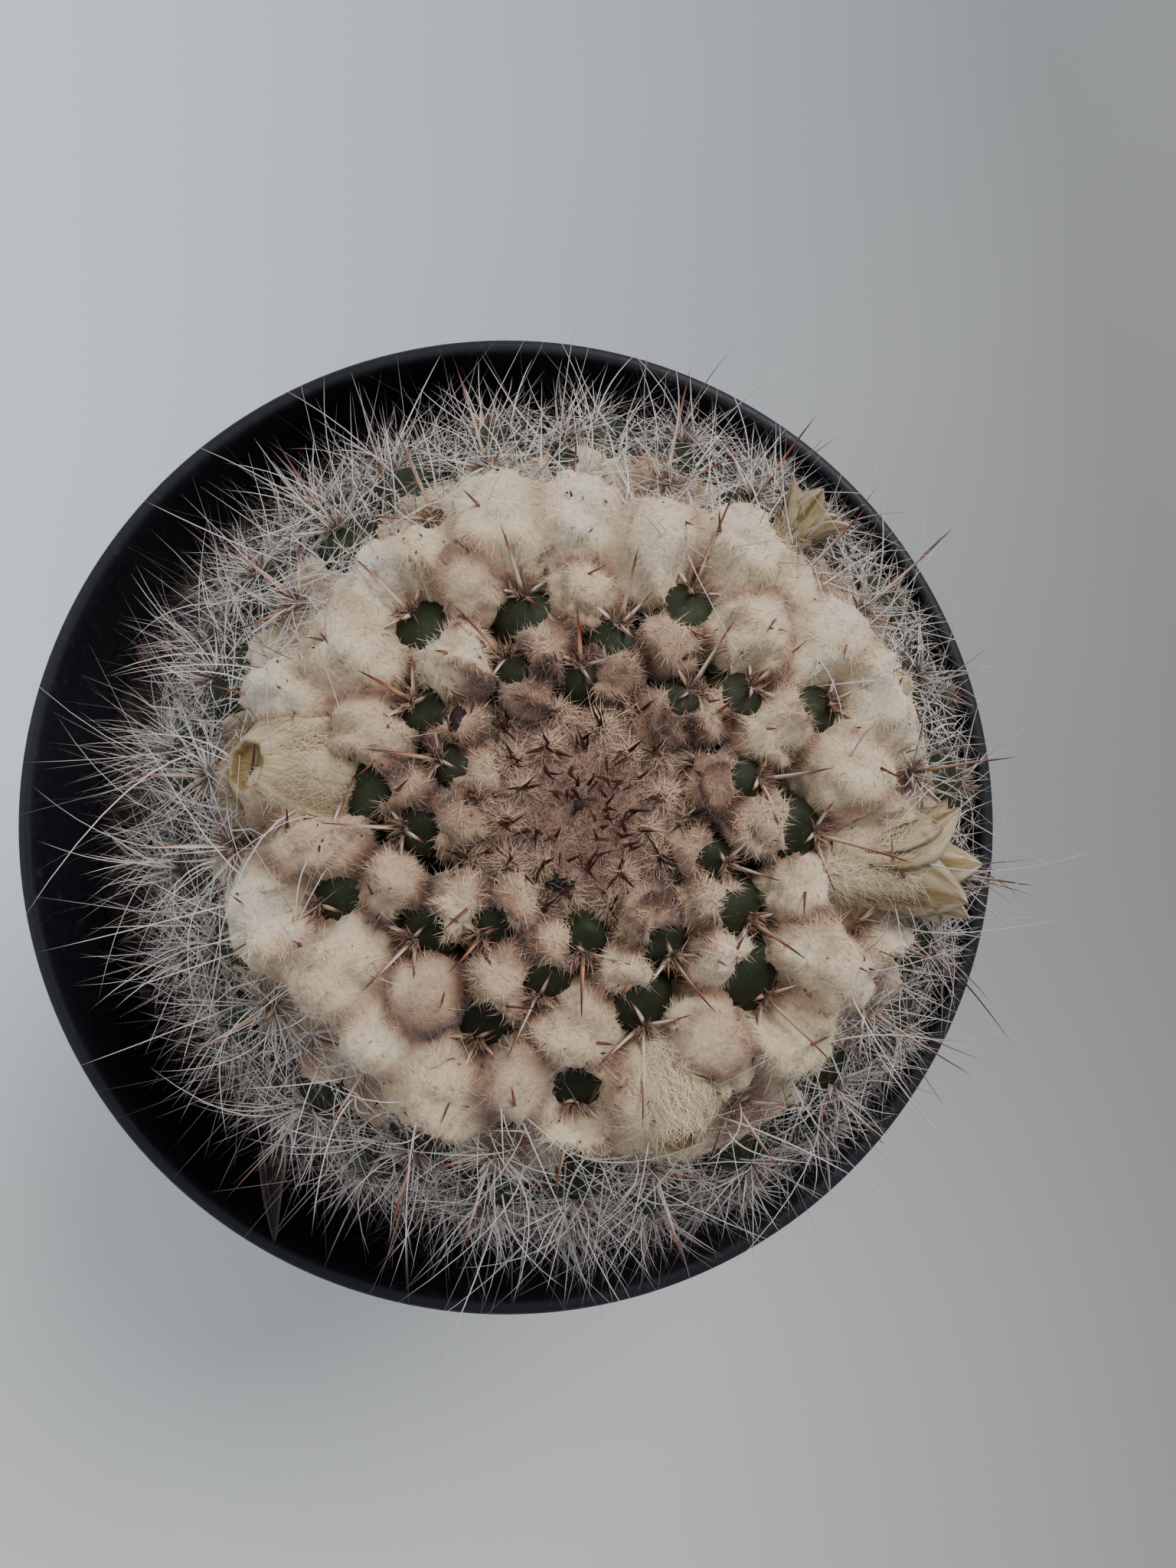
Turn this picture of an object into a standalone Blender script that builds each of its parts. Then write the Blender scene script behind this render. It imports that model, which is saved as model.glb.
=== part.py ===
"""A woolly-crowned mammillaria in a round nursery pot, standing on its base.

Frame: metres, +Z up. The origin is the centre of the pot's flat base. +X is to the right and +Y is away
from someone who looks straight down on the plant with +Y at the top.

The stem carries its tubercles in opposite pairs. Each pair turns a fixed angle from the pair before it, so
the tubercles lie in ten spirals one way and sixteen the other. Pair 0 is the innermost that shows green.
"""

import math
import random

import bmesh
import bpy
import numpy as np
from mathutils import Vector

MM = 0.001

# Pot
POT_HEIGHT = 89 * MM
LIP_RADIUS = 54 * MM
BASE_RADIUS = 38 * MM
WALL_FLARE = 0.170  # radius gained for each metre of height
WALL = 1.2 * MM
FLOOR = 2.4 * MM
FLOOR_ROUND = 1.2 * MM  # height over which the wall turns into the floor
FOOT_ROUND = 1.6 * MM  # width over which it does so
COLLAR_HEIGHT = 16 * MM
COLLAR_STEP = 0.9 * MM
LIP_HEIGHT = 2.6 * MM
POT_SIDES = 48
DRAIN_HOLES = 6
DRAIN_RADIUS = 3.6 * MM
DRAIN_CIRCLE = 25 * MM
DRAIN_SIDES = 10
GROOVE_WIDTH = 5 * MM
GROOVE_DEPTH = 1.0 * MM
CUT_PAST = 2 * MM  # how far a cutter runs past the face that it cuts

# Soil
SOIL_TOP = 77 * MM
SOIL_LUMP = 0.8 * MM
SOIL_RINGS = 6
SOCKET_DEPTH = 13 * MM
SOCKET_RADIUS = 21 * MM
GAP = 0.3 * MM  # clear space wherever one piece rests on another

# Stem, in its own frame: the root collar at the soil's surface, and the axis up through the crown
STEM_FOOT = Vector((5.6, 0.1, 77)) * MM
STEM_APEX = Vector((8.9, 3.0, 130)) * MM
EQUATOR = 23 * MM
TIP_RADIUS = 38.5 * MM
TIP_RISE = 30 * MM
TIP_FOOT_RADIUS = 34 * MM
CORE_RADIUS = 31 * MM
CORE_RISE = 27.4 * MM
CORE_CROWN_RADIUS = 4 * MM
FULLNESS = 2.4  # exponent of both dome profiles: 2 is an ellipse, more is squarer
NECK_RADIUS = 19 * MM
NECK_TOP = 4.5 * MM
NECK_FOOT = -3.4 * MM
ROOT_RADIUS = 16 * MM
ROOT_FOOT = -11.4 * MM
CORE_SIDES = 24
CORE_RINGS = 9

# Tubercles
FIRST_TURN = math.radians(91.5)
PAIR_TURN = math.radians(69.15)
TURN_WANDER = math.radians(2.0)
FIRST_RADIUS = 9.9 * MM
RADIUS_GROWTH = 1.0585
LAST_GROWING_PAIR = 17
ADULT_STEP = 0.66 * MM  # distance down the side from one pair to the next
ADULT_BASE = 4.5 * MM
CROWDING = 0.495  # base radius over the distance between neighbours
YOUNG_LENGTH = 4.0 * MM
ADULT_LENGTH = 9.2 * MM
TUBERCLE_SIDES = 5
LAST_SHOULDER_PAIR = 30
SHOULDER = 0.86  # radius of the shoulder over the base radius
SHOULDER_DEPTH = 0.62  # its depth under the tip over the base radius
BLUNT = 0.46  # radius of the blunt tip over the base radius
TIP_SHIFT = 0.22  # how far the blunt tip leans down the slope over the base radius
CROWN_LEAN = math.radians(17)
LOWEST_TIP = 4.6 * MM

# Spines, one from each face of the areole's pad
PAD_RADIUS = 0.62 * MM
PAD_RISE = 0.3 * MM
PAD_PEAK = 0.28 * MM
PAD_SHIFT = 0.3  # how far the pad sits down the slope over the base radius
CENTRAL_FACE = 2
CENTRAL_TILT = math.radians(27)
CENTRAL_SPINE = 10.0 * MM
RADIAL_TILT = math.radians(64)
RADIAL_SPINE = 8.0 * MM
YOUNG_SPINE = 0.45  # length at the crown over that of a grown spine
LONG_SPINE = 15.5 * MM
LONG_EVERY = 3
FIRST_LONG_PAIR = 20
SHORTEST_SPINE = 1.2 * MM
SPINE_TESTS = 14
CLEARANCE = 0.45 * MM  # how far every spine stays from the other pieces
OVERHANG = 1.5 * MM  # how far a spine may reach past the lip
STEM_KEPT = 0.85

# Wool: a ball in the axil of each tubercle, and a bed that joins them
WOOL_FIRST_PAIR = 1
WOOL_LAST_PAIR = 29
FIRST_FULL_PAIR = 20
LAST_FULL_PAIR = 26
SHRINK_PAST_FULL = 0.08
WOOL_SHARE = 0.825  # distance of an axil from the axis over that of its tip
SMALL_TUFT = 1.6 * MM
FULL_BALL = 4.7 * MM
BALL_GROWTH = 1.6
BALL_SUNK = 0.28  # depth of its centre under the tips over its radius
BIG_BALL = 3.0 * MM  # radius from which a ball has more faces
BED_TOP = 1.2 * MM  # below the tips
BED_UNDER = 3.2 * MM
BED_INNER = 9.6 * MM
BED_OUTER = 30.2 * MM
BED_SIDES = 24
BED_RINGS = 4
WOOL_GAP = 0.5 * MM
WOOL_NEIGHBOURS = 8  # pairs past the last ball whose tubercles may still touch it
WOOL_KEPT = 0.40

# Felt on the crown
FELT_RADIUS = 8.4 * MM
FELT_SKIRT = 4 * MM
FELT_RISE = 1.5 * MM
FELT_RINGS = 6
FELT_SIDES = 24
FELT_BUMP = 0.4 * MM
FELT_NEIGHBOURS = 4
FELT_SPINES = 44
FELT_SPINE_RADIUS = 0.24 * MM
FELT_SPINE_LENGTHS = (1.8 * MM, 2.9 * MM)
GOLDEN_TURN = math.radians(137.508)

# Withered flowers, each from its root in an axil to its end. spread is how far open tepals stand out, over
# the widest radius, and a closed flower has none.
FLOWERS = {
    "flower_1": {
        "root": Vector((26.6, 25.4, 112.5)) * MM,
        "end": Vector((33.5, 33.2, 110)) * MM,
        "widest": 2.4 * MM,
        "spread": 1.85,
        "tepals": 9,
    },
    "flower_2": {
        "root": Vector((28.0, -1.6, 123.5)) * MM,
        "end": Vector((42.6, -2.3, 118)) * MM,
        "widest": 2.6 * MM,
        "spread": 1.85,
        "tepals": 8,
    },
    "flower_3": {
        "root": Vector((-13.0, 5.3, 122)) * MM,
        "end": Vector((-21.6, 6.5, 118.2)) * MM,
        "widest": 4.2 * MM,
        "spread": 1.0,
        "tepals": 0,
    },
    "flower_4": {
        "root": Vector((15.0, -20.0, 121.5)) * MM,
        "end": Vector((17.0, -27.8, 116.8)) * MM,
        "widest": 3.4 * MM,
        "spread": 1.0,
        "tepals": 0,
    },
    "flower_5": {
        "root": Vector((31.4, 11.2, 121.2)) * MM,
        "end": Vector((37.4, 13.8, 118.0)) * MM,
        "widest": 2.2 * MM,
        "spread": 1.0,
        "tepals": 0,
    },
}
CLOSED_OUTLINE = ((0.0, 0.62), (0.2, 0.9), (0.5, 1.0), (0.8, 0.8), (1.0, 0.5))
TUBE_OUTLINE = ((0.0, 0.45), (0.28, 0.6), (0.5, 0.75))
FLOWER_SIDES = 10
TUBE_SIDES = 8
TEPAL_THICKNESS = 0.9 * MM
TEPAL_WIDTH = 3.0 * MM
FLOWER_GAP = 0.6 * MM  # clears the areoles, which stand out of the tubercles' tips


def clear_scene():
    for obj in list(bpy.data.objects):
        bpy.data.objects.remove(obj, do_unlink=True)


def material(name, colour, roughness):
    made = bpy.data.materials.new(name)
    made.use_nodes = True
    shader = made.node_tree.nodes["Principled BSDF"]
    shader.inputs["Base Color"].default_value = (*colour, 1)
    shader.inputs["Roughness"].default_value = roughness
    shader.inputs["Metallic"].default_value = 0.0
    return made


def turns(sides):
    return [math.tau * side / sides for side in range(sides)]


def mesh_object(name, points, faces, finish=None):
    mesh = bpy.data.meshes.new(name)
    mesh.from_pydata([tuple(p) for p in points], [], faces)
    mesh.validate()
    obj = bpy.data.objects.new(name, mesh)
    bpy.context.scene.collection.objects.link(obj)
    if finish:
        mesh.materials.append(finish)
    return obj


def band_faces(rows, sides):
    """Four-sided faces between rings of points, each ring anticlockwise seen from the next one."""
    faces = []
    for row in range(rows - 1):
        low, high = row * sides, (row + 1) * sides
        for at in range(sides):
            after = (at + 1) % sides
            faces.append((low + at, low + after, high + after, high + at))
    return faces


def rings_object(name, rings, finish=None):
    """A closed solid through rings of points, with a flat cap at each end."""
    sides = len(rings[0])
    points = [p for ring in rings for p in ring]
    top = (len(rings) - 1) * sides
    caps = [tuple(reversed(range(sides))), tuple(range(top, top + sides))]
    return mesh_object(name, points, band_faces(len(rings), sides) + caps, finish)


def circle(radius, height, sides):
    return [Vector((radius * math.cos(t), radius * math.sin(t), height)) for t in turns(sides)]


def axes_along(direction):
    """Two directions at right angles to this one and to each other."""
    direction = direction.normalized()
    aside = Vector((0, 0, 1)) if abs(direction.z) < 0.9 else Vector((1, 0, 0))
    first = direction.cross(aside).normalized()
    return first, direction.cross(first)


def loft(name, centres, radii, sides, finish=None):
    """A round solid along a line of centres, with a radius at each."""
    rings = []
    for at, (centre, radius) in enumerate(zip(centres, radii)):
        before, after = centres[max(at - 1, 0)], centres[min(at + 1, len(centres) - 1)]
        first, second = axes_along(after - before)
        rings.append([centre + (first * math.cos(t) + second * math.sin(t)) * radius for t in turns(sides)])
    return rings_object(name, rings, finish)


def needle(name, root, direction, length, radius):
    """A three-sided spine: a point at its tip, and its root sunk into what it grows from."""
    first, second = axes_along(direction)
    base = root - direction * 4 * radius
    ring = [base + (first * math.cos(t) + second * math.sin(t)) * radius for t in turns(3)]
    faces = [(2, 1, 0), (0, 1, 3), (1, 2, 3), (2, 0, 3)]
    return mesh_object(name, [*ring, root + direction * length], faces)


def evaluate_into(obj):
    """Turns what the object's modifiers make of it into its own mesh."""
    graph = bpy.context.evaluated_depsgraph_get()
    made = bpy.data.meshes.new_from_object(obj.evaluated_get(graph))
    obj.modifiers.clear()
    obj.data = made


def combine(obj, operation, others):
    """Joins these objects to obj, or cuts them from it, all at once, then removes them."""
    collection = bpy.data.collections.new(operation.title())
    bpy.context.scene.collection.children.link(collection)
    for other in others:
        bpy.context.scene.collection.objects.unlink(other)
        collection.objects.link(other)
    modifier = obj.modifiers.new(operation.title(), "BOOLEAN")
    modifier.operation = operation
    modifier.solver = "MANIFOLD"
    modifier.operand_type = "COLLECTION"
    modifier.collection = collection
    evaluate_into(obj)
    for other in others:
        bpy.data.objects.remove(other, do_unlink=True)
    bpy.data.collections.remove(collection)


def thin_out(obj, share):
    """Merges the small faces that a cut leaves along its edges, down to this share of the triangles."""
    modifier = obj.modifiers.new("Thin", "DECIMATE")
    modifier.ratio = share
    evaluate_into(obj)


def keep_largest(obj):
    """Drops every loose scrap that a cut leaves, so that one body is left."""
    shape = bmesh.new()
    shape.from_mesh(obj.data)
    waiting = set(shape.faces)
    islands = []
    while waiting:
        island, front = set(), [waiting.pop()]
        while front:
            face = front.pop()
            island.add(face)
            near = {other for edge in face.edges for other in edge.link_faces if other in waiting}
            waiting -= near
            front += near
        islands.append(island)
    islands.sort(key=len)
    scraps = [face for island in islands[:-1] for face in island]
    bmesh.ops.delete(shape, geom=scraps, context="FACES")
    shape.to_mesh(obj.data)
    shape.free()


def shade_round(obj):
    obj.data.shade_smooth()
    obj.data.set_sharp_from_angle(angle=math.radians(40))


def pot_outer_radius(height):
    return BASE_RADIUS + WALL_FLARE * height


def pot_inner_radius(height):
    return pot_outer_radius(height) - WALL


def make_pot():
    """A thin tapered wall with a flat floor, a stepped collar and a rolled lip, turned about Z."""
    collar_foot = POT_HEIGHT - COLLAR_HEIGHT
    lip_foot = POT_HEIGHT - LIP_HEIGHT
    inner_top = pot_inner_radius(POT_HEIGHT)
    profile = [
        (BASE_RADIUS - FOOT_ROUND, 0),
        (BASE_RADIUS, 0.9 * FOOT_ROUND),
        (pot_outer_radius(collar_foot - COLLAR_STEP), collar_foot - COLLAR_STEP),
        (pot_outer_radius(collar_foot) + COLLAR_STEP, collar_foot),
        (LIP_RADIUS - 1.0 * MM, lip_foot),
        (LIP_RADIUS - 0.1 * MM, lip_foot + 0.5 * MM),
        (LIP_RADIUS, POT_HEIGHT - 1.2 * MM),
        (LIP_RADIUS - 0.6 * MM, POT_HEIGHT - 0.2 * MM),
        (LIP_RADIUS - 1.4 * MM, POT_HEIGHT),
        (inner_top + 0.3 * MM, POT_HEIGHT - 0.3 * MM),
        (inner_top - 0.2 * MM, POT_HEIGHT - 1.4 * MM),
        (pot_inner_radius(FLOOR + FLOOR_ROUND), FLOOR + FLOOR_ROUND),
        (pot_inner_radius(FLOOR) - FOOT_ROUND, FLOOR),
    ]
    rings = [circle(radius, height, POT_SIDES) for radius, height in profile]
    pot = rings_object("pot", rings, material("pot_black", (0.018, 0.019, 0.024), 0.45))
    cutters = []
    for hole in range(DRAIN_HOLES):
        turn = math.tau * (hole + 0.5) / DRAIN_HOLES
        out = Vector((math.cos(turn), math.sin(turn), 0))
        cutters += [drain_hole(out), groove(out)]
    combine(pot, "DIFFERENCE", cutters)
    shade_round(pot)


def drain_hole(out):
    centre = out * DRAIN_CIRCLE
    ends = [centre - Vector((0, 0, CUT_PAST)), centre + Vector((0, 0, FLOOR + CUT_PAST))]
    return loft("drain", ends, [DRAIN_RADIUS] * 2, DRAIN_SIDES)


def groove(out):
    """A shallow box under the floor that drains a hole to the foot's edge."""
    across = Vector((-out.y, out.x, 0)) * GROOVE_WIDTH / 2
    near, far = out * DRAIN_CIRCLE, out * (BASE_RADIUS + 2 * CUT_PAST)
    low, high = Vector((0, 0, -CUT_PAST)), Vector((0, 0, GROOVE_DEPTH))
    foot = [near - across, far - across, far + across, near + across]
    return rings_object("groove", [[p + low for p in foot], [p + high for p in foot]])


def soil_height(point):
    """The soil's surface: broad lumps with a finer crumb, by two pairs of crossed waves."""
    x, y = point.x, point.y
    broad = math.sin(x * 410 + 1.3 * math.sin(y * 290)) * math.cos(y * 370 + 0.7)
    crumb = math.sin(x * 1150 + 2.1) * math.sin(y * 1270 + math.sin(x * 700))
    return SOIL_TOP + SOIL_LUMP * (0.65 * broad + 0.35 * crumb)


def make_soil():
    """Potting mix that fills the pot, with a plain hole that the stem's foot stands in."""
    wall_foot = FLOOR + FLOOR_ROUND + GAP
    foot = Vector((STEM_FOOT.x, STEM_FOOT.y, 0))

    def clear_of_wall(height):
        return (pot_inner_radius(height) - GAP) * math.cos(math.pi / POT_SIDES)

    hole = [p + foot for p in circle(SOCKET_RADIUS, 0, POT_SIDES)]
    wall = circle(clear_of_wall(SOIL_TOP), 0, POT_SIDES)
    rings = [
        circle(clear_of_wall(wall_foot) - FOOT_ROUND, FLOOR + GAP, POT_SIDES),
        circle(clear_of_wall(wall_foot), wall_foot + GAP, POT_SIDES),
    ]
    for ring in range(SOIL_RINGS + 1):
        points = [w.lerp(h, ring / SOIL_RINGS) for h, w in zip(hole, wall)]
        rings.append([p + Vector((0, 0, soil_height(p))) for p in points])
    rings.append([p + Vector((0, 0, SOIL_TOP - SOCKET_DEPTH)) for p in hole])
    rings_object("soil", rings, material("soil_peat", (0.055, 0.036, 0.026), 0.95))


class Profile:
    """Half of a turned outline, a dome on a rounded foot, by its arc length from the apex down."""

    def __init__(self, radius, rise, foot_radius, foot_height):
        turn = np.linspace(0, math.pi / 2, 400)
        across = np.sin(turn) ** (2 / FULLNESS)
        up = np.cos(turn) ** (2 / FULLNESS)
        fall = np.linspace(0, 1, 200)[1:]
        below = foot_radius + (radius - foot_radius) * np.sqrt(1 - fall**2)
        self.radii = np.concatenate([radius * across, below])
        self.heights = np.concatenate([EQUATOR + rise * up, EQUATOR - fall * (EQUATOR - foot_height)])
        steps = np.hypot(np.diff(self.radii), np.diff(self.heights))
        self.arcs = np.concatenate([[0], np.cumsum(steps)])

    def arc_at_radius(self, radius):
        """Arc length to this radius on the dome."""
        dome = self.heights >= EQUATOR
        return float(np.interp(radius, self.radii[dome], self.arcs[dome]))

    def radius(self, arc):
        return float(np.interp(arc, self.arcs, self.radii))

    def height(self, arc):
        return float(np.interp(arc, self.arcs, self.heights))

    def lean(self, arc):
        """The angle of the outward normal from the axis."""
        before, after = arc - 0.5 * MM, arc + 0.5 * MM
        return math.atan2(self.height(before) - self.height(after), self.radius(after) - self.radius(before))

    def point(self, arc, turn, out=0.0):
        """The point at this arc length and turn, moved out along the normal."""
        lean = self.lean(arc)
        return in_stem(self.radius(arc) + out * math.sin(lean), turn, self.height(arc) + out * math.cos(lean))


def stem_axes():
    up = (STEM_APEX - STEM_FOOT).normalized()
    right = Vector((0, 1, 0)).cross(up).normalized()
    return right, up.cross(right), up


def in_stem(radius, turn, height):
    """The point at this distance from the stem's axis, turn about it and height along it."""
    right, back, up = stem_axes()
    return STEM_FOOT + (right * math.cos(turn) + back * math.sin(turn)) * radius + up * height


def lean_direction(turn, lean):
    """The direction that leans this far from the stem's axis, towards this turn."""
    right, back, up = stem_axes()
    return (right * math.cos(turn) + back * math.sin(turn)) * math.sin(lean) + up * math.cos(lean)


TIPS = Profile(TIP_RADIUS, TIP_RISE, TIP_FOOT_RADIUS, 0)
CORE = Profile(CORE_RADIUS, CORE_RISE, NECK_RADIUS, NECK_TOP)
CROWN = EQUATOR + CORE_RISE


def tip_arc(pair):
    """Arc length to a pair's tips: its radius grows by a fixed ratio, then by a fixed step."""
    growing = TIPS.arc_at_radius(FIRST_RADIUS * RADIUS_GROWTH ** min(pair, LAST_GROWING_PAIR))
    return growing + ADULT_STEP * max(0, pair - LAST_GROWING_PAIR)


def pair_turn(pair, arm):
    """The turn of one tubercle of a pair, with a little natural wander."""
    wander = TURN_WANDER * math.sin(pair * 12.9 + arm * 4.1)
    return FIRST_TURN + PAIR_TURN * pair + math.pi * arm + wander


class Tubercle:
    """Where one tubercle stands: its tip, the direction it points, its length and its base radius."""

    def __init__(self, pair, arm):
        self.pair = pair
        arc, turn = tip_arc(pair), pair_turn(pair, arm)
        self.tip = TIPS.point(arc, turn)
        fallen = max(0.0, min(1.0, 1 - (TIPS.height(arc) - EQUATOR) / TIP_RISE))
        self.direction = lean_direction(turn, TIPS.lean(arc) + CROWN_LEAN * (1 - math.sqrt(fallen)))
        down_slope = TIPS.point(arc + 1 * MM, turn) - self.tip
        self.outer = (down_slope - self.direction * down_slope.dot(self.direction)).normalized()
        self.side = self.direction.cross(self.outer)
        step = TIPS.radius(arc) * math.log(RADIUS_GROWTH) if pair <= LAST_GROWING_PAIR else ADULT_STEP
        # Two tubercles share each step, so this is the side of the square that one has to itself.
        room = math.sqrt(math.pi * TIPS.radius(arc) * step)
        self.base = min(CROWDING * room, ADULT_BASE)
        self.grown = min(1.0, pair / LAST_GROWING_PAIR)
        self.length = YOUNG_LENGTH + (ADULT_LENGTH - YOUNG_LENGTH) * self.grown

    def ring(self, centre, radius):
        return [
            centre + (self.outer * math.cos(t) + self.side * math.sin(t)) * radius
            for t in turns(TUBERCLE_SIDES)
        ]

    def rings(self, more=0.0):
        """Rings up a five-sided cone whose blunt tip leans down the slope. more is added all round."""
        foot = self.tip - self.direction * self.length
        shoulder = self.tip - self.direction * self.base * SHOULDER_DEPTH
        blunt = self.tip + self.outer * self.base * TIP_SHIFT + self.direction * more
        levels = [(foot, 1.0), (shoulder, SHOULDER), (blunt, BLUNT)]
        if self.pair > LAST_SHOULDER_PAIR:
            levels.pop(1)
        return [self.ring(centre, self.base * share + more) for centre, share in levels]

    def solid(self, more=0.0):
        return rings_object("tubercle", self.rings(more))

    def lowest(self):
        return min(point.z for ring in self.rings() for point in ring)


def all_tubercles():
    """Every tubercle from the crown down that stands clear of the soil."""
    found = []
    pair = 0
    while TIPS.height(tip_arc(pair)) > LOWEST_TIP:
        both = [Tubercle(pair, arm) for arm in (0, 1)]
        found += [tubercle for tubercle in both if tubercle.lowest() > SOIL_TOP + SOIL_LUMP + CLEARANCE]
        pair += 1
    return found


def make_core(more=0.0, finish=None):
    """The turned stem under the tubercles, from its foot in the soil to its crown."""
    rings = [
        [in_stem(ROOT_RADIUS + more, turn, ROOT_FOOT - more) for turn in turns(CORE_SIDES)],
        [in_stem(NECK_RADIUS + more, turn, NECK_FOOT) for turn in turns(CORE_SIDES)],
    ]
    for arc in np.linspace(CORE.arcs[-1], CORE.arc_at_radius(CORE_CROWN_RADIUS), CORE_RINGS):
        rings.append([CORE.point(arc, turn, more) for turn in turns(CORE_SIDES)])
    return rings_object("stem", rings, finish)


def wool_ball(pair, arm):
    """Centre and radius of the wool in the axil inward of a tubercle."""
    arc = TIPS.arc_at_radius(TIPS.radius(tip_arc(pair)) * WOOL_SHARE)
    size = SMALL_TUFT + (FULL_BALL - SMALL_TUFT) * min(1.0, pair / FIRST_FULL_PAIR) ** BALL_GROWTH
    size *= 1 - SHRINK_PAST_FULL * max(0, pair - LAST_FULL_PAIR)
    return TIPS.point(arc, pair_turn(pair, arm), -BALL_SUNK * size), size


def wool_balls():
    pairs = range(WOOL_FIRST_PAIR, WOOL_LAST_PAIR + 1)
    return [wool_ball(pair, arm) for pair in pairs for arm in (0, 1)]


def distance_to_line(point, start, end):
    along = end - start
    share = max(0.0, min(1.0, (point - start).dot(along) / along.length_squared))
    return (point - start - along * share).length


def is_clear(point, balls):
    """True where a spine may pass: off the pot, the soil, the felt, the wool and the flowers."""
    across = math.hypot(point.x, point.y)
    if point.z < SOIL_TOP + SOIL_LUMP + CLEARANCE or across > LIP_RADIUS + OVERHANG:
        return False
    if point.z < POT_HEIGHT + CLEARANCE and across > pot_inner_radius(point.z) - CLEARANCE:
        return False
    crown, over_crown = in_stem(0, 0, CROWN), in_stem(0, 0, CROWN + 2 * FELT_RISE)
    if distance_to_line(point, crown, over_crown) < FELT_RADIUS + CLEARANCE:
        return False
    if any((point - centre).length < size + CLEARANCE for centre, size in balls):
        return False
    return all(
        distance_to_line(point, flower["root"], flower["end"])
        > flower["widest"] * flower["spread"] + 2 * CLEARANCE
        for flower in FLOWERS.values()
    )


def clear_length(root, direction, length, balls):
    """The longest part of this spine that stays clear, or nothing where even a short one would not."""
    for test in range(1, SPINE_TESTS + 1):
        if not is_clear(root + direction * length * test / SPINE_TESTS, balls):
            shorter = length * (test - 1.6) / SPINE_TESTS
            return shorter if shorter > SHORTEST_SPINE else None
    return length


def spine_aim(tubercle, face, chance):
    """Direction and length of the spine on one face of the pad: one near the axis, the rest spread wide."""
    central = face == CENTRAL_FACE
    turn = math.tau * (face + 0.5) / TUBERCLE_SIDES + chance.uniform(-0.18, 0.18)
    tilt = (CENTRAL_TILT if central else RADIAL_TILT) * chance.uniform(0.88, 1.1)
    away = tubercle.outer * math.cos(turn) + tubercle.side * math.sin(turn)
    length = CENTRAL_SPINE if central else RADIAL_SPINE
    length *= YOUNG_SPINE + (1 - YOUNG_SPINE) * tubercle.grown
    if central and tubercle.pair >= FIRST_LONG_PAIR and tubercle.pair % LONG_EVERY == 0:
        length = LONG_SPINE
    return tubercle.direction * math.cos(tilt) + away * math.sin(tilt), length * chance.uniform(0.8, 1.1)


def tubercle_with_spines(tubercle, balls, chance):
    """One closed solid: the cone, a raised areole on its outer side, and a spine drawn from each pad face."""
    pad_centre = tubercle.tip + tubercle.outer * tubercle.base * PAD_SHIFT + tubercle.direction * PAD_RISE
    rings = [*tubercle.rings(), tubercle.ring(pad_centre, PAD_RADIUS)]
    points = [p for ring in rings for p in ring]
    peak = len(points)
    points.append(pad_centre + tubercle.direction * PAD_PEAK)
    faces = [tuple(reversed(range(TUBERCLE_SIDES))), *band_faces(len(rings), TUBERCLE_SIDES)]
    pad = (len(rings) - 1) * TUBERCLE_SIDES
    for face in range(TUBERCLE_SIDES):
        first, second = pad + face, pad + (face + 1) % TUBERCLE_SIDES
        root = (points[first] + points[second] + points[peak]) / 3
        aim, length = spine_aim(tubercle, face, chance)
        reach = clear_length(root, aim, length, balls)
        if reach is None:
            faces.append((first, second, peak))
            continue
        end = len(points)
        points.append(root + aim * reach)
        faces += [(first, second, end), (second, peak, end), (peak, first, end)]
    return mesh_object("tubercle", points, faces)


def make_stem():
    """The core with its tubercles and spines, joined into one body."""
    stem = make_core(finish=material("stem_green", (0.055, 0.115, 0.045), 0.55))
    balls = wool_balls()
    chance = random.Random(11)
    combine(stem, "UNION", [tubercle_with_spines(each, balls, chance) for each in all_tubercles()])
    thin_out(stem, STEM_KEPT)


def stem_cutters(gap, last_pair=None):
    """The core and its tubercles, each larger by the gap, to cut what rests among them."""
    near = [each for each in all_tubercles() if last_pair is None or each.pair <= last_pair]
    return [make_core(gap), *(each.solid(gap) for each in near)]


def ball(centre, radius, rounds):
    mesh = bpy.data.meshes.new("ball")
    shape = bmesh.new()
    bmesh.ops.create_icosphere(shape, subdivisions=rounds, radius=radius)
    bmesh.ops.translate(shape, verts=shape.verts, vec=centre)
    shape.to_mesh(mesh)
    shape.free()
    obj = bpy.data.objects.new("ball", mesh)
    bpy.context.scene.collection.objects.link(obj)
    return obj


def make_bed():
    """The band of wool that lies between the tubercles just under their tips, turned about the stem."""
    arcs = np.linspace(TIPS.arc_at_radius(BED_INNER), TIPS.arc_at_radius(BED_OUTER), BED_RINGS)
    outline = [(arc, -BED_UNDER) for arc in arcs] + [(arc, -BED_TOP) for arc in arcs[::-1]]
    rings = [[TIPS.point(arc, turn, out) for turn in turns(BED_SIDES)] for arc, out in outline]
    points = [p for ring in rings for p in ring]
    closed = band_faces(len(rings) + 1, BED_SIDES)
    faces = [tuple(corner % len(points) for corner in face) for face in closed]
    return mesh_object("wool", points, faces, material("wool_cream", (0.62, 0.54, 0.43), 0.95))


def flower_room(flower):
    """A plain tapered shape that holds a flower and its gap, to cut the wool around it."""
    root, end = flower["root"], flower["end"]
    along = (end - root).normalized()
    near = flower["widest"] + GAP
    far = flower["widest"] * flower["spread"] + GAP
    centres = [root - along * 2 * MM, root, end, end + along * 3 * MM]
    return loft("flower_room", centres, [near, near, far, far], FLOWER_SIDES)


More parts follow.
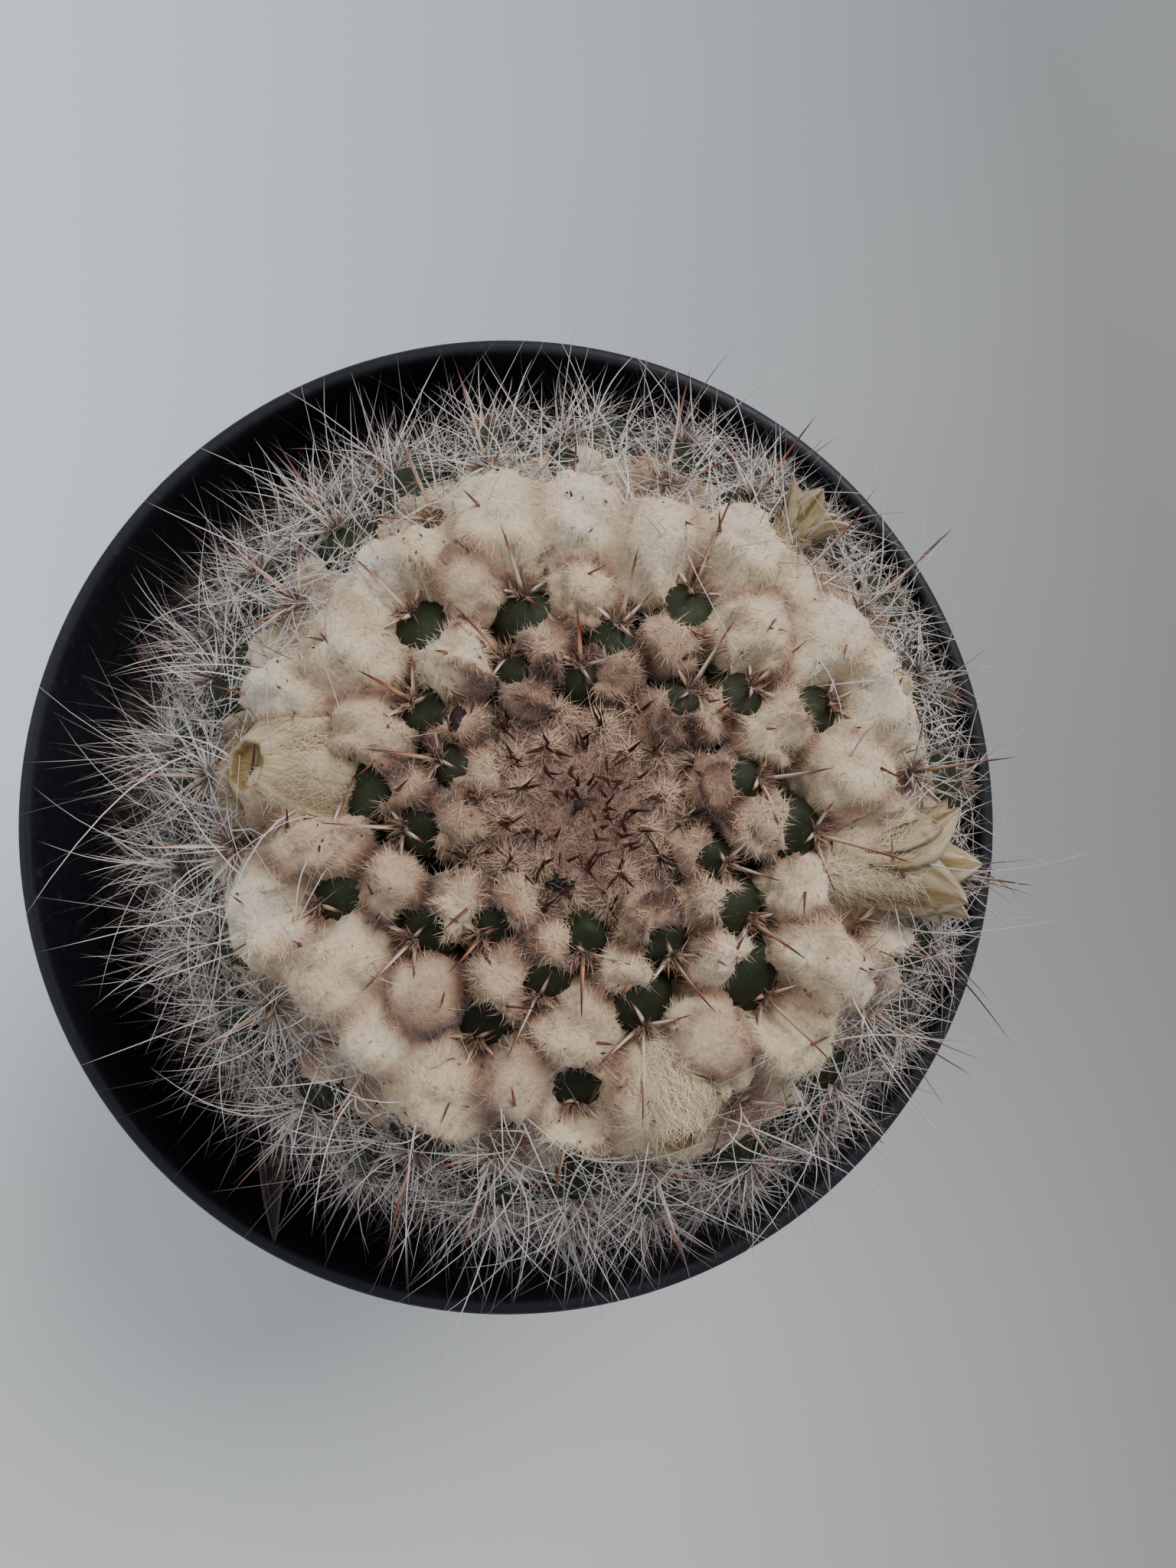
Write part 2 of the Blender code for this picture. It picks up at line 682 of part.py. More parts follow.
def make_wool():
    """Wool in the axils: small tufts near the crown, and a ring of full balls around it."""
    wool = make_bed()
    combine(wool, "UNION", [ball(centre, size, 2 if size > BIG_BALL else 1) for centre, size in wool_balls()])
    cutters = stem_cutters(WOOL_GAP, WOOL_LAST_PAIR + WOOL_NEIGHBOURS)
    cutters += [felt_shape("felt_room", WOOL_GAP), *(flower_room(each) for each in FLOWERS.values())]
    combine(wool, "DIFFERENCE", cutters)
    thin_out(wool, WOOL_KEPT)
    keep_largest(wool)
    shade_round(wool)


def felt_shape(name, more=0.0, finish=None):
    """A low cap on the crown, with small bumps unless it is made larger by more, as a cutter."""
    bumps = 0.0 if more else FELT_BUMP
    rings = [[in_stem(FELT_RADIUS + more, turn, CROWN - FELT_SKIRT) for turn in turns(FELT_SIDES)]]
    for ring in range(FELT_RINGS):
        share = 1 - ring / FELT_RINGS
        rise = FELT_RISE * (1 - share**2.4) + more
        swell = bumps * share * math.sin(ring * 1.9 + 1)
        rings.append(
            [
                in_stem(
                    (FELT_RADIUS + more) * share**0.8,
                    turn,
                    CROWN + rise + swell * math.sin(turn * 5 + ring * 2.2),
                )
                for turn in turns(FELT_SIDES)
            ]
        )
    return rings_object(name, rings, finish)


def make_felt():
    """The short brown felt over the growing point, with its own small dark spines."""
    felt = felt_shape("crown_felt", finish=material("felt_brown", (0.20, 0.115, 0.085), 0.95))
    chance = random.Random(5)
    spines = []
    for number in range(FELT_SPINES):
        share = 0.86 * math.sqrt((number + 0.5) / FELT_SPINES)
        turn = number * GOLDEN_TURN
        foot = in_stem(FELT_RADIUS * share, turn, CROWN + FELT_RISE * (1 - share**3) - 0.5 * MM)
        lean = 0.12 + 0.28 * share + chance.uniform(-0.08, 0.08)
        aim = lean_direction(turn + chance.uniform(-0.5, 0.5), lean)
        length = chance.uniform(*FELT_SPINE_LENGTHS)
        spines.append(needle("short_spine", foot, aim, length, FELT_SPINE_RADIUS))
    combine(felt, "UNION", spines)
    combine(felt, "DIFFERENCE", stem_cutters(GAP, FELT_NEIGHBOURS))
    keep_largest(felt)
    shade_round(felt)


def flower_body(name, flower, outline, sides):
    """The turned part of a flower: outline gives shares of its length and of its widest radius."""
    root, end = flower["root"], flower["end"]
    centres = [root.lerp(end, share) for share, _ in outline]
    radii = [flower["widest"] * wide for _, wide in outline]
    return loft(name, centres, radii, sides, material(f"{name}_petal", (0.46, 0.40, 0.17), 0.8))


def tepal(flower, turn, inner):
    """One leaf of a flower: a flat blade that starts in the tube, opens outwards and ends in a point."""
    root, end = flower["root"], flower["end"]
    first, second = axes_along(end - root)
    away = first * math.cos(turn) + second * math.sin(turn)
    across = (end - root).normalized().cross(away)
    spread = flower["spread"] * (0.65 if inner else 1.0)
    reach = 1.0 if inner else 0.86
    outline = ((0.3, 0.2, 0.6), (0.7 * reach, 0.55 * spread, 1.0), (reach, spread, 0.24))
    rings = []
    for along, out, wide in outline:
        centre = root.lerp(end, along) + away * flower["widest"] * out
        half_width, half_thickness = across * TEPAL_WIDTH * wide / 2, away * TEPAL_THICKNESS / 2
        rings.append(
            [centre - half_width, centre + half_thickness, centre + half_width, centre - half_thickness]
        )
    return rings_object("tepal", rings)


def make_flower(name):
    """A withered flower: a tube with open pointed tepals, or a closed shrunken bud."""
    flower = FLOWERS[name]
    if flower["tepals"]:
        made = flower_body(name, flower, TUBE_OUTLINE, TUBE_SIDES)
        each_turn = turns(flower["tepals"])
        combine(made, "UNION", [tepal(flower, turn, at % 2) for at, turn in enumerate(each_turn)])
    else:
        made = flower_body(name, flower, CLOSED_OUTLINE, FLOWER_SIDES)
    combine(made, "DIFFERENCE", stem_cutters(FLOWER_GAP))
    keep_largest(made)
    shade_round(made)


def main():
    clear_scene()
    make_pot()
    make_soil()
    make_stem()
    make_wool()
    make_felt()
    for name in FLOWERS:
        make_flower(name)


main()
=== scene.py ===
# Looks for a potted mammillaria: a round cactus with woolly axils, off-centre in a black nursery pot.
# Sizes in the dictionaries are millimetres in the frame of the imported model, +Z up. Meshes are in metres.
import bpy
import numpy as np
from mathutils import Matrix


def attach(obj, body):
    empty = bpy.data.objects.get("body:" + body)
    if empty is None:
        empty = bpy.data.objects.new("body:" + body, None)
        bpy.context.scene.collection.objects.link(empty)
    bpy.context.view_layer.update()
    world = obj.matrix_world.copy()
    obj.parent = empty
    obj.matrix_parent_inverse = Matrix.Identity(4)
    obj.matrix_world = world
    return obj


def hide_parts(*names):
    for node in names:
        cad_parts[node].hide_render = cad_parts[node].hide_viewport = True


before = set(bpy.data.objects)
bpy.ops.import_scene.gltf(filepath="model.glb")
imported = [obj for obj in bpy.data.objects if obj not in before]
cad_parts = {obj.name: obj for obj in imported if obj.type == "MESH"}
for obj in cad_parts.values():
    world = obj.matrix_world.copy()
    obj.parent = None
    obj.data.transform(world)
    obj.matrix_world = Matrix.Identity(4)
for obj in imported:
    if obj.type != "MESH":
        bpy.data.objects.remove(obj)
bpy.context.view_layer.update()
mm = 0.001
fullTurn = 2 * np.pi
goldenTurn = np.radians(137.508)
hairMap = "OFBake"  # hairs lie in it by their length across and their tint up, so one map serves them all
hairMargin, tintMargin = 0.03, 0.04  # kept clear at the map's sides, and at its foot and head
hairBand = 0.004  # half the height that one hair takes in the map


# Camera: a phone held level over the plant, its picture's top towards +Y

view = {"eye": (9.1, 4.8, 220.0), "lens": 27.36, "sensor": 36.0, "nearest": 0.005}


def newObject(name, data):
    thing = bpy.data.objects.new(name, data)
    bpy.context.scene.collection.objects.link(thing)
    return thing


def makeCamera():
    lens = bpy.data.cameras.new("photoLens")
    lens.lens = view["lens"]
    lens.sensor_width = view["sensor"]  # falls on the picture's long side
    lens.clip_start = view["nearest"]
    camera = newObject("photoCamera", lens)
    camera.location = np.array(view["eye"]) * mm
    bpy.context.scene.camera = camera


makeCamera()
print("camera placed")


# Mesh and vector helpers

def unit(v):
    return v / np.maximum(np.linalg.norm(v, axis=-1, keepdims=True), 1e-9)


def dot(a, b):
    return (a * b).sum(-1, keepdims=True)


def circle(count):
    # this many turns, spread evenly round a circle
    return np.arange(count) * fullTurn / count


def smoothStep(x, low, high):
    t = np.clip((x - low) / (high - low), 0, 1)
    return t * t * (3 - 2 * t)


def ripples(points, size, seed):
    # soft lumps: five sine waves in random directions, their phases bent by one another, about -1 to 1
    draw = np.random.default_rng(seed)
    total = np.zeros(points.shape[:-1])
    for _ in range(5):
        way = unit(draw.normal(size=3)) * fullTurn / (size * draw.uniform(0.7, 1.5))
        total = total + np.sin(points @ way + draw.uniform(0, fullTurn) + 0.8 * total)
    return total / 3.2


def addPiece(name, shape, finish, marks=None, replaced=(), smooth=True):
    # shape is the points in mm, the faces as a list of index arrays, one for each number of corners, and for
    # hairs and petals each point's place in the map
    points, faces, *maps = shape
    mesh = bpy.data.meshes.new(name)
    corners = [f for part in faces for f in np.asarray(part).tolist()]
    mesh.from_pydata((np.asarray(points).reshape(-1, 3) * mm).tolist(), [], corners)
    for uv in maps:
        at = np.zeros(len(mesh.loops), np.int32)
        mesh.loops.foreach_get("vertex_index", at)
        layer = mesh.uv_layers.new(name=hairMap)
        layer.data.foreach_set("uv", np.asarray(uv, np.float32).reshape(-1, 2)[at].ravel())
    for mark, values in (marks or {}).items():
        layer = mesh.attributes.new(mark, "FLOAT", "POINT")
        layer.data.foreach_set("value", np.asarray(values, np.float32).ravel())
    if smooth:
        mesh.shade_smooth()
    mesh.materials.append(finish)
    piece = newObject(name, mesh)
    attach(piece, "root")
    if replaced:
        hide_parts(*replaced)
    print(f"{name}: {sum(len(f) - 2 for f in corners)} triangles")
    return piece


def evaluated(thing):
    bpy.context.view_layer.update()
    return thing.evaluated_get(bpy.context.evaluated_depsgraph_get())


def gridFaces(rows, sides, count=1):
    # four-sided faces of `count` grids, each of this many rows, whose last point joins the first
    row, at = np.meshgrid(np.arange(rows - 1), np.arange(sides), indexing="ij")
    after = (at + 1) % sides
    low, high = row * sides, (row + 1) * sides
    one = np.stack([low + at, low + after, high + after, high + at], -1).reshape(-1, 4)
    return (one[None] + (np.arange(count) * rows * sides)[:, None, None]).reshape(-1, 4)


def lidFaces(rows, sides, count=1):
    # a face over the first row and one over the last row of each grid
    start, edge = (np.arange(count) * rows * sides)[:, None], np.arange(sides)
    return np.concatenate([start + edge[::-1], start + (rows - 1) * sides + edge])


def fanFaces(hub, start, sides, turned=False):
    # triangles from the point `hub` to the edges of the closed row that begins at `start`
    at = start + np.arange(sides)
    after = start + (np.arange(sides) + 1) % sides
    return np.stack([np.full(sides, hub), *((after, at) if turned else (at, after))], -1)


def aside(ways):
    # two directions across each way, so that first x second points along it
    upright = np.where(np.abs(ways[..., 2:]) < 0.9, [0.0, 0.0, 1.0], [1.0, 0.0, 0.0])
    first = unit(np.cross(ways, upright))
    return first, np.cross(ways, first)


def hairUv(along, up, tints):
    # each point's place in the map: its share of the length across, and its hair's tint up
    across = hairMargin + (1 - 2 * hairMargin) * along
    height = tintMargin + (1 - 2 * tintMargin) * tints[:, None] + hairBand * up
    return np.stack(np.broadcast_arrays(across, height), -1)


def quills(roots, ways, lengths, radii, bends, tints, steps=3, blunt=0.8):
    # Closed three-sided horns. Each runs root + way s + bend s^2, with s from 0 to 1 along it, and thins as
    # (1 - s)^blunt.
    count = len(roots)
    s = np.arange(steps) / steps
    run = ways[:, None] * s[:, None] + bends[:, None] * s[:, None] ** 2
    line = roots[:, None] + run * lengths[:, None, None]
    first, second = aside(ways)
    turn = circle(3)[:, None]
    rim = first[:, None] * np.cos(turn) + second[:, None] * np.sin(turn)
    thick = radii[:, None] * (1 - s) ** blunt
    rings = line[:, :, None] + rim[:, None] * thick[..., None, None]
    tips = roots + (ways + bends) * lengths[:, None]
    points = np.concatenate([rings.reshape(count, -1, 3), tips[:, None]], 1)
    start = (np.arange(count) * (steps * 3 + 1))[:, None, None]
    sides = (gridFaces(steps, 3)[None] + start).reshape(-1, 4)
    top = (steps - 1) * 3
    ends = [[2, 1, 0], [top, top + 1, top + 3], [top + 1, top + 2, top + 3], [top + 2, top, top + 3]]
    ends = (np.array(ends)[None] + start).reshape(-1, 3)
    uv = hairUv(np.append(np.repeat(s, 3), 1), np.append(np.tile([-1, 0, 1], steps), 0), tints)
    return points.reshape(-1, 3), [sides, ends], uv


def wisps(roots, ways, normals, lengths, widths, bends, tints):
    # Flat hairs in two parts that narrow to a point. Each runs root + way s + bend s^2, its flat side to the
    # normal.
    side = unit(np.cross(ways, normals)) * widths[:, None] / 2
    length = lengths[:, None]
    middle = roots + (ways * 0.5 + bends * 0.25) * length
    tip = roots + (ways + bends) * length
    points = np.stack([roots - side, roots + side, middle - side * 0.8, middle + side * 0.8, tip], 1)
    start = (np.arange(len(roots)) * 5)[:, None]
    uv = hairUv(np.array([0, 0, 0.5, 0.5, 1]), np.array([-1, 1, -1, 1, 0]), tints)
    return points.reshape(-1, 3), [start + [0, 1, 3, 2], start + [2, 3, 4]], uv


# Material helpers

def newFinish(name, roughness, **settings):
    finish = bpy.data.materials.new(name)
    finish.use_nodes = True
    tree = finish.node_tree
    shader = tree.nodes["Principled BSDF"]
    shader.inputs["Roughness"].default_value = roughness
    for socket, value in settings.items():
        shader.inputs[socket.replace("_", " ")].default_value = value
    return finish, tree, shader


def addNode(tree, kind, settings=(), **inputs):
    node = tree.nodes.new(kind)
    for name, value in dict(settings).items():
        setattr(node, name, value)
    for name, value in inputs.items():
        socket = node.inputs[name.replace("_", " ")]
        if isinstance(value, bpy.types.NodeSocket):
            tree.links.new(value, socket)
        else:
            socket.default_value = value
    return node


def objectPlace(tree):
    return addNode(tree, "ShaderNodeTexCoord").outputs["Object"]


def noise(tree, scale, detail=3.0, place=None):
    # scale is in waves for each metre, or for each unit of the place given
    place = place or objectPlace(tree)
    return addNode(tree, "ShaderNodeTexNoise", Vector=place, Scale=scale, Detail=detail).outputs["Fac"]


def ramp(tree, factor, stops):
    # each stop is a place and a colour, which is one number for a grey
    node = addNode(tree, "ShaderNodeValToRGB", Fac=factor)
    bar = node.color_ramp.elements
    while len(bar) < len(stops):
        bar.new(0.5)
    for element, (place, colour) in zip(bar, stops):
        element.position = place
        element.color = (*((colour,) * 3 if isinstance(colour, float) else colour), 1)
    return node.outputs["Color"]


def mixed(tree, factor, one, two, blend="MIX"):
    node = addNode(tree, "ShaderNodeMix", {"data_type": "RGBA", "blend_type": blend})
    for at, value in ((0, factor), (6, one), (7, two)):
        if isinstance(value, bpy.types.NodeSocket):
            tree.links.new(value, node.inputs[at])
        elif at:
            node.inputs[at].default_value = (*value, 1)
        else:
            node.inputs[at].default_value = value
    return node.outputs[2]


def roughen(tree, shader, height, strength, distance):
    # distance is the relief's depth in mm
    bump = addNode(tree, "ShaderNodeBump", Height=height, Strength=strength, Distance=distance * mm)
    tree.links.new(bump.outputs["Normal"], shader.inputs["Normal"])


def colourWith(tree, shader, colour):
    tree.links.new(colour, shader.inputs["Base Color"])


def markOf(tree, name):
    return addNode(tree, "ShaderNodeAttribute", {"attribute_name": name}).outputs["Fac"]


def mapParts(tree):
    # the place in the hair map, and its parts across and up
    place = addNode(tree, "ShaderNodeUVMap", {"uv_map": hairMap}).outputs["UV"]
    parts = addNode(tree, "ShaderNodeSeparateXYZ", Vector=place)
    return place, parts.outputs["X"], parts.outputs["Y"]


def stretched(tree, place, scale):
    return addNode(tree, "ShaderNodeMapping", Vector=place, Scale=scale).outputs[0]


def hairFinish(name, roughness, tintStops, paintedShadeStops, **settings):
    # colour by the hair's tint, up the map, times painted shade along its length, across the map: darker at
    # the root, a little lighter at the tip
    finish, tree, shader = newFinish(name, roughness, **settings)
    _, across, up = mapParts(tree)
    tint, shade = ramp(tree, up, tintStops), ramp(tree, across, paintedShadeStops)
    colourWith(tree, shader, mixed(tree, 1.0, tint, shade, "MULTIPLY"))
    return finish


def spineFinish(name, roughness, paleStops, darkStops, **settings):
    # colour along the spine, from the pale row at the map's foot to the dark row at its head
    finish, tree, shader = newFinish(name, roughness, **settings)
    _, across, up = mapParts(tree)
    colourWith(tree, shader, mixed(tree, up, ramp(tree, across, paleStops), ramp(tree, across, darkStops)))
    return finish


# How the stem grows: two domes, one through the tubercles' tips and one through the core they stand on, and
# the tubercles in opposite pairs, each pair turned by a fixed angle from the one before it

growth = {
    "foot": (5.6, 0.1, 77.0), "apex": (8.9, 3.0, 130.0),
    "equator": 23.0, "fullness": 2.4,
    "tipRadius": 38.5, "tipRise": 30.0, "tipFootRadius": 34.0,
    "coreRadius": 31.0, "coreRise": 27.4, "neckRadius": 19.0, "neckTop": 4.5,
    "rootRadius": 16.0, "rootFoot": -11.4, "neckFoot": -3.4,
    "firstTurn": 91.5, "pairTurn": 69.15, "wander": 2.0,
    "firstRadius": 9.9, "ratio": 1.0585, "lastGrowing": 17, "adultStep": 0.66,
    "adultBase": 4.5, "crowding": 0.495, "youngLength": 4.0, "adultLength": 9.2,
    "crownLean": 17.0, "lowestTip": 4.6, "mostPairs": 90, "hiddenPairs": (13, 14), "hiddenArm": 1,
}
stemFoot = np.array(growth["foot"])
stemUp = unit(np.array(growth["apex"]) - stemFoot)
stemRight = unit(np.cross([0.0, 1.0, 0.0], stemUp))
stemBack = np.cross(stemUp, stemRight)


def outline(radius, rise, footRadius, footHeight):
    # radius, height and arc length down a superellipse dome, then down a quarter ellipse to the foot
    turn = np.linspace(0, np.pi / 2, 400)
    power = 2 / growth["fullness"]
    fall = np.linspace(0, 1, 200)[1:]
    middle = growth["equator"]
    drawnIn = footRadius + (radius - footRadius) * np.sqrt(1 - fall**2)
    across = np.append(radius * np.sin(turn) ** power, drawnIn)
    up = np.append(middle + rise * np.cos(turn) ** power, middle - fall * (middle - footHeight))
    along = np.append(0, np.cumsum(np.hypot(np.diff(across), np.diff(up))))
    return across, up, along


def inStem(radius, turn, height):
    # the point at this distance from the stem's axis, turn about it and height along it
    radius, turn, height = (np.asarray(x, float)[..., None] for x in (radius, turn, height))
    return stemFoot + (stemRight * np.cos(turn) + stemBack * np.sin(turn)) * radius + stemUp * height


def leanWay(turn, lean):
    turn, lean = (np.asarray(x, float)[..., None] for x in (turn, lean))
    return (stemRight * np.cos(turn) + stemBack * np.sin(turn)) * np.sin(lean) + stemUp * np.cos(lean)


def arcAt(dome, radius):
    across, up, along = dome
    top = up >= growth["equator"]
    return np.interp(radius, across[top], along[top])


def leanAt(dome, arc):
    across, up, along = dome
    rise = np.interp(arc - 0.5, along, up) - np.interp(arc + 0.5, along, up)
    run = np.interp(arc + 0.5, along, across) - np.interp(arc - 0.5, along, across)
    return np.arctan2(rise, run)


def onDome(dome, arc, turn, out=0.0):
    # the point at this arc length and turn, moved out along the dome's normal
    across, up, along = dome
    lean = leanAt(dome, arc)
    radius = np.interp(arc, along, across) + out * np.sin(lean)
    return inStem(radius, turn, np.interp(arc, along, up) + out * np.cos(lean))


tipDome = outline(growth["tipRadius"], growth["tipRise"], growth["tipFootRadius"], 0.0)
coreDome = outline(growth["coreRadius"], growth["coreRise"], growth["neckRadius"], growth["neckTop"])
crownHeight = growth["equator"] + growth["coreRise"]


def inPairs(pairs):
    # each pair's number twice, and the arm that tells its two members apart
    return (x.ravel() for x in np.meshgrid(pairs, [0, 1], indexing="ij"))


def tipArc(pair):
    last = growth["lastGrowing"]
    growing = arcAt(tipDome, growth["firstRadius"] * growth["ratio"] ** np.minimum(pair, last))
    return growing + growth["adultStep"] * np.maximum(0, pair - last)


def pairTurn(pair, arm):
    wander = growth["wander"] * np.sin(pair * 12.9 + arm * 4.1)
    return np.radians(growth["firstTurn"] + growth["pairTurn"] * pair + 180.0 * arm + wander)


def growTubercles():
    # one row for each tubercle, from the crown down to the soil
    pairs = np.arange(growth["mostPairs"])
    heights = np.interp(tipArc(pairs), tipDome[2], tipDome[1])
    pair, arm = inPairs(pairs[heights > growth["lowestTip"]])
    arc, turn = tipArc(pair), pairTurn(pair, arm)
    tip = onDome(tipDome, arc, turn)
    height = np.interp(arc, tipDome[2], tipDome[1])
    radius = np.interp(arc, tipDome[2], tipDome[0])
    fallen = np.clip(1 - (height - growth["equator"]) / growth["tipRise"], 0, 1)
    crownLean = np.radians(growth["crownLean"]) * (1 - np.sqrt(fallen))
    way = leanWay(turn, leanAt(tipDome, arc) + crownLean)
    downSlope = onDome(tipDome, arc + 1, turn) - tip
    outer = unit(downSlope - way * dot(downSlope, way))
    step = np.where(pair <= growth["lastGrowing"], radius * np.log(growth["ratio"]), growth["adultStep"])
    base = np.minimum(growth["crowding"] * np.sqrt(np.pi * radius * step), growth["adultBase"])
    grown = np.minimum(1, pair / growth["lastGrowing"])
    length = growth["youngLength"] + (growth["adultLength"] - growth["youngLength"]) * grown
    return {
        "pair": pair, "arm": arm, "tip": tip, "way": way, "outer": outer, "side": np.cross(way, outer),
        "base": base, "length": length,
    }


tubercles = growTubercles()
# the wool has grown over these tips
hiddenTip = (tubercles["arm"] == growth["hiddenArm"]) & np.isin(tubercles["pair"], growth["hiddenPairs"])


# Pot

pot = {
    "height": 89.0, "lipRadius": 54.0, "baseRadius": 38.0, "flare": 0.170, "wall": 1.2, "floor": 2.4,
    "footRound": 1.6, "collarHeight": 16.0, "collarStep": 0.9, "lipHeight": 2.6, "cornerRound": 0.7,
    "sides": 192, "sharpAngle": 50.0, "holes": 6, "holeSides": 24, "holeRadius": 3.6, "holeCircle": 25.0,
    "grooveWidth": 5.0, "grooveDepth": 1.0, "pastRim": 4.0, "pastFloor": 2.0,
}


def outerRadius(height):
    return pot["baseRadius"] + pot["flare"] * height


def innerRadius(height):
    return outerRadius(height) - pot["wall"]


def roundedCorners(outline2d, radius, steps=4):
    # each inner corner becomes a short quadratic curve that starts and ends `radius` away from it
    points = np.array(outline2d, float)
    done = [points[:1]]
    for before, corner, after in zip(points[:-2], points[1:-1], points[2:]):
        cut = min(radius, *(np.linalg.norm(end - corner) * 0.45 for end in (before, after)))
        start, end = corner + unit(before - corner) * cut, corner + unit(after - corner) * cut
        s = np.linspace(0, 1, steps)[:, None]
        done.append(start * (1 - s) ** 2 + corner * 2 * s * (1 - s) + end * s**2)
    return np.concatenate([*done, points[-1:]])


def blackPlastic():
    finish, tree, shader = newFinish("blackPlastic", 0.5, Specular_IOR_Level=0.28)
    cloud = noise(tree, 55, 4)
    dust = noise(tree, 900, 5)
    worn = ramp(tree, cloud, [(0.35, (0.0075, 0.0080, 0.0105)), (0.7, (0.0125, 0.0130, 0.0170))])
    dusted = ramp(tree, dust, [(0.60, 0.0), (0.80, (0.020, 0.019, 0.019))])
    colourWith(tree, shader, mixed(tree, 1.0, worn, dusted, "ADD"))
    tree.links.new(ramp(tree, dust, [(0.3, 0.46), (0.75, 0.66)]), shader.inputs["Roughness"])
    roughen(tree, shader, noise(tree, 1600, 3), 0.25, 0.05)
    return finish


def makePot():
    # a profile turned about Z, from the middle of the foot up the outside, over the lip and down to the floor
    top, collarFoot, sides = pot["height"], pot["height"] - pot["collarHeight"], pot["sides"]
    lipFoot, lip, inner = top - pot["lipHeight"], pot["lipRadius"], innerRadius(top)
    step, floor, footRound = pot["collarStep"], pot["floor"], pot["footRound"]
    profile = roundedCorners([
        (0.0, 0.0), (pot["baseRadius"] - footRound, 0.0), (pot["baseRadius"], 0.9 * footRound),
        (outerRadius(collarFoot - step), collarFoot - step), (outerRadius(collarFoot) + step, collarFoot),
        (lip - 1.0, lipFoot), (lip - 0.1, lipFoot + 0.5), (lip, top - 1.0), (lip - 0.5, top),
        (inner + 0.4, top), (inner - 0.2, top - 1.4), (innerRadius(floor + footRound), floor + footRound),
        (innerRadius(floor) - footRound, floor), (0.0, floor),
    ], pot["cornerRound"])[1:-1]
    rows, turn = len(profile), circle(sides)
    across, up = profile[:, :1], profile[:, 1:]
    rings = np.stack(np.broadcast_arrays(across * np.cos(turn), across * np.sin(turn), up), -1)
    points = np.concatenate([rings.reshape(-1, 3), [[0, 0, 0], [0, 0, floor]]])
    last = rows * sides
    foot, inside = fanFaces(last, 0, sides, turned=True), fanFaces(last + 1, last - sides, sides)
    shell = addPiece("potShell", (points, [gridFaces(rows, sides), foot, inside]), blackPlastic(),
                     replaced=["pot"])
    shell.data.set_sharp_from_angle(angle=np.radians(pot["sharpAngle"]))
    cutter = addCutter()
    cut = shell.modifiers.new("Drain", "BOOLEAN")
    cut.operation = "DIFFERENCE"
    cut.solver = "EXACT"
    cut.use_self = True
    cut.object = cutter
    finished = bpy.data.meshes.new_from_object(evaluated(shell))
    shell.modifiers.clear()
    shell.data = finished
    bpy.data.objects.remove(cutter, do_unlink=True)


def addCutter():
    # six drain holes and the grooves that lead from them to the foot's edge, as loose closed solids
    points, faces = [], []
    turn = circle(pot["holeSides"])
    for hole in range(pot["holes"]):
        out = fullTurn * (hole + 0.5) / pot["holes"]
        way, across = np.array([np.cos(out), np.sin(out)]), np.array([-np.sin(out), np.cos(out)])
        ringAt = way * pot["holeCircle"] + pot["holeRadius"] * np.stack([np.cos(turn), np.sin(turn)], -1)
        near, far = way * pot["holeCircle"], way * (pot["baseRadius"] + pot["pastRim"])
        half = across * pot["grooveWidth"] / 2
        box = np.array([near - half, far - half, far + half, near + half])
        for flat, top in ((ringAt, pot["floor"] + pot["pastFloor"]), (box, pot["grooveDepth"])):
            n, start = len(flat), len(points)
            for height in (-pot["pastFloor"], top):
                points += [(*p, height) for p in flat]
            faces += [tuple(start + f for f in lid) for lid in lidFaces(2, n).tolist()]
            faces += [tuple(start + f for f in side) for side in gridFaces(2, n).tolist()]
    mesh = bpy.data.meshes.new("drainCutter")
    mesh.from_pydata((np.array(points) * mm).tolist(), [], faces)
    return newObject("drainCutter", mesh)


makePot()


# Soil: a lumpy bed of dark peat, strewn with bark and grit

soil = {
    "top": 77.0, "lump": 0.8, "grain": 0.35, "gap": 0.3, "hole": 21.0, "depth": 13.0,
    "rings": 40, "sides": 220, "foot": 2.8, "footRadius": 36.48, "skirt": 5.0,
    "bits": 620, "bitLeast": 0.22, "bitSpan": 1.5, "bitFlat": 0.6, "bitInset": 1.6,
}


def soilHeight(points):
    # broad lumps with a finer crumb, by two pairs of crossed waves, then rough grains on top
    x, y = points[..., 0] * mm, points[..., 1] * mm
    broad = np.sin(x * 410 + 1.3 * np.sin(y * 290)) * np.cos(y * 370 + 0.7)
    crumb = np.sin(x * 1150 + 2.1) * np.sin(y * 1270 + np.sin(x * 700))
    flat = points[..., :2] @ np.eye(2, 3)
    grain = np.abs(ripples(flat, 2.2, 5)) + 0.6 * ripples(flat, 0.9, 6)
    return soil["top"] + soil["lump"] * (0.65 * broad + 0.35 * crumb) + soil["grain"] * grain


def darkPeat():
    finish, tree, shader = newFinish("darkPeat", 0.93, Specular_IOR_Level=0.25)
    clod, fibre = noise(tree, 380, 6), noise(tree, 1500, 4)
    brown = ramp(tree, clod, [
        (0.32, (0.006, 0.0045, 0.004)), (0.55, (0.020, 0.012, 0.009)), (0.75, (0.042, 0.022, 0.015)),
    ])
    flecks = ramp(tree, fibre, [(0.66, 0.0), (0.78, (0.07, 0.03, 0.018))])
    colourWith(tree, shader, mixed(tree, 1.0, brown, flecks, "ADD"))
    roughen(tree, shader, fibre, 0.8, 0.4)
    return finish


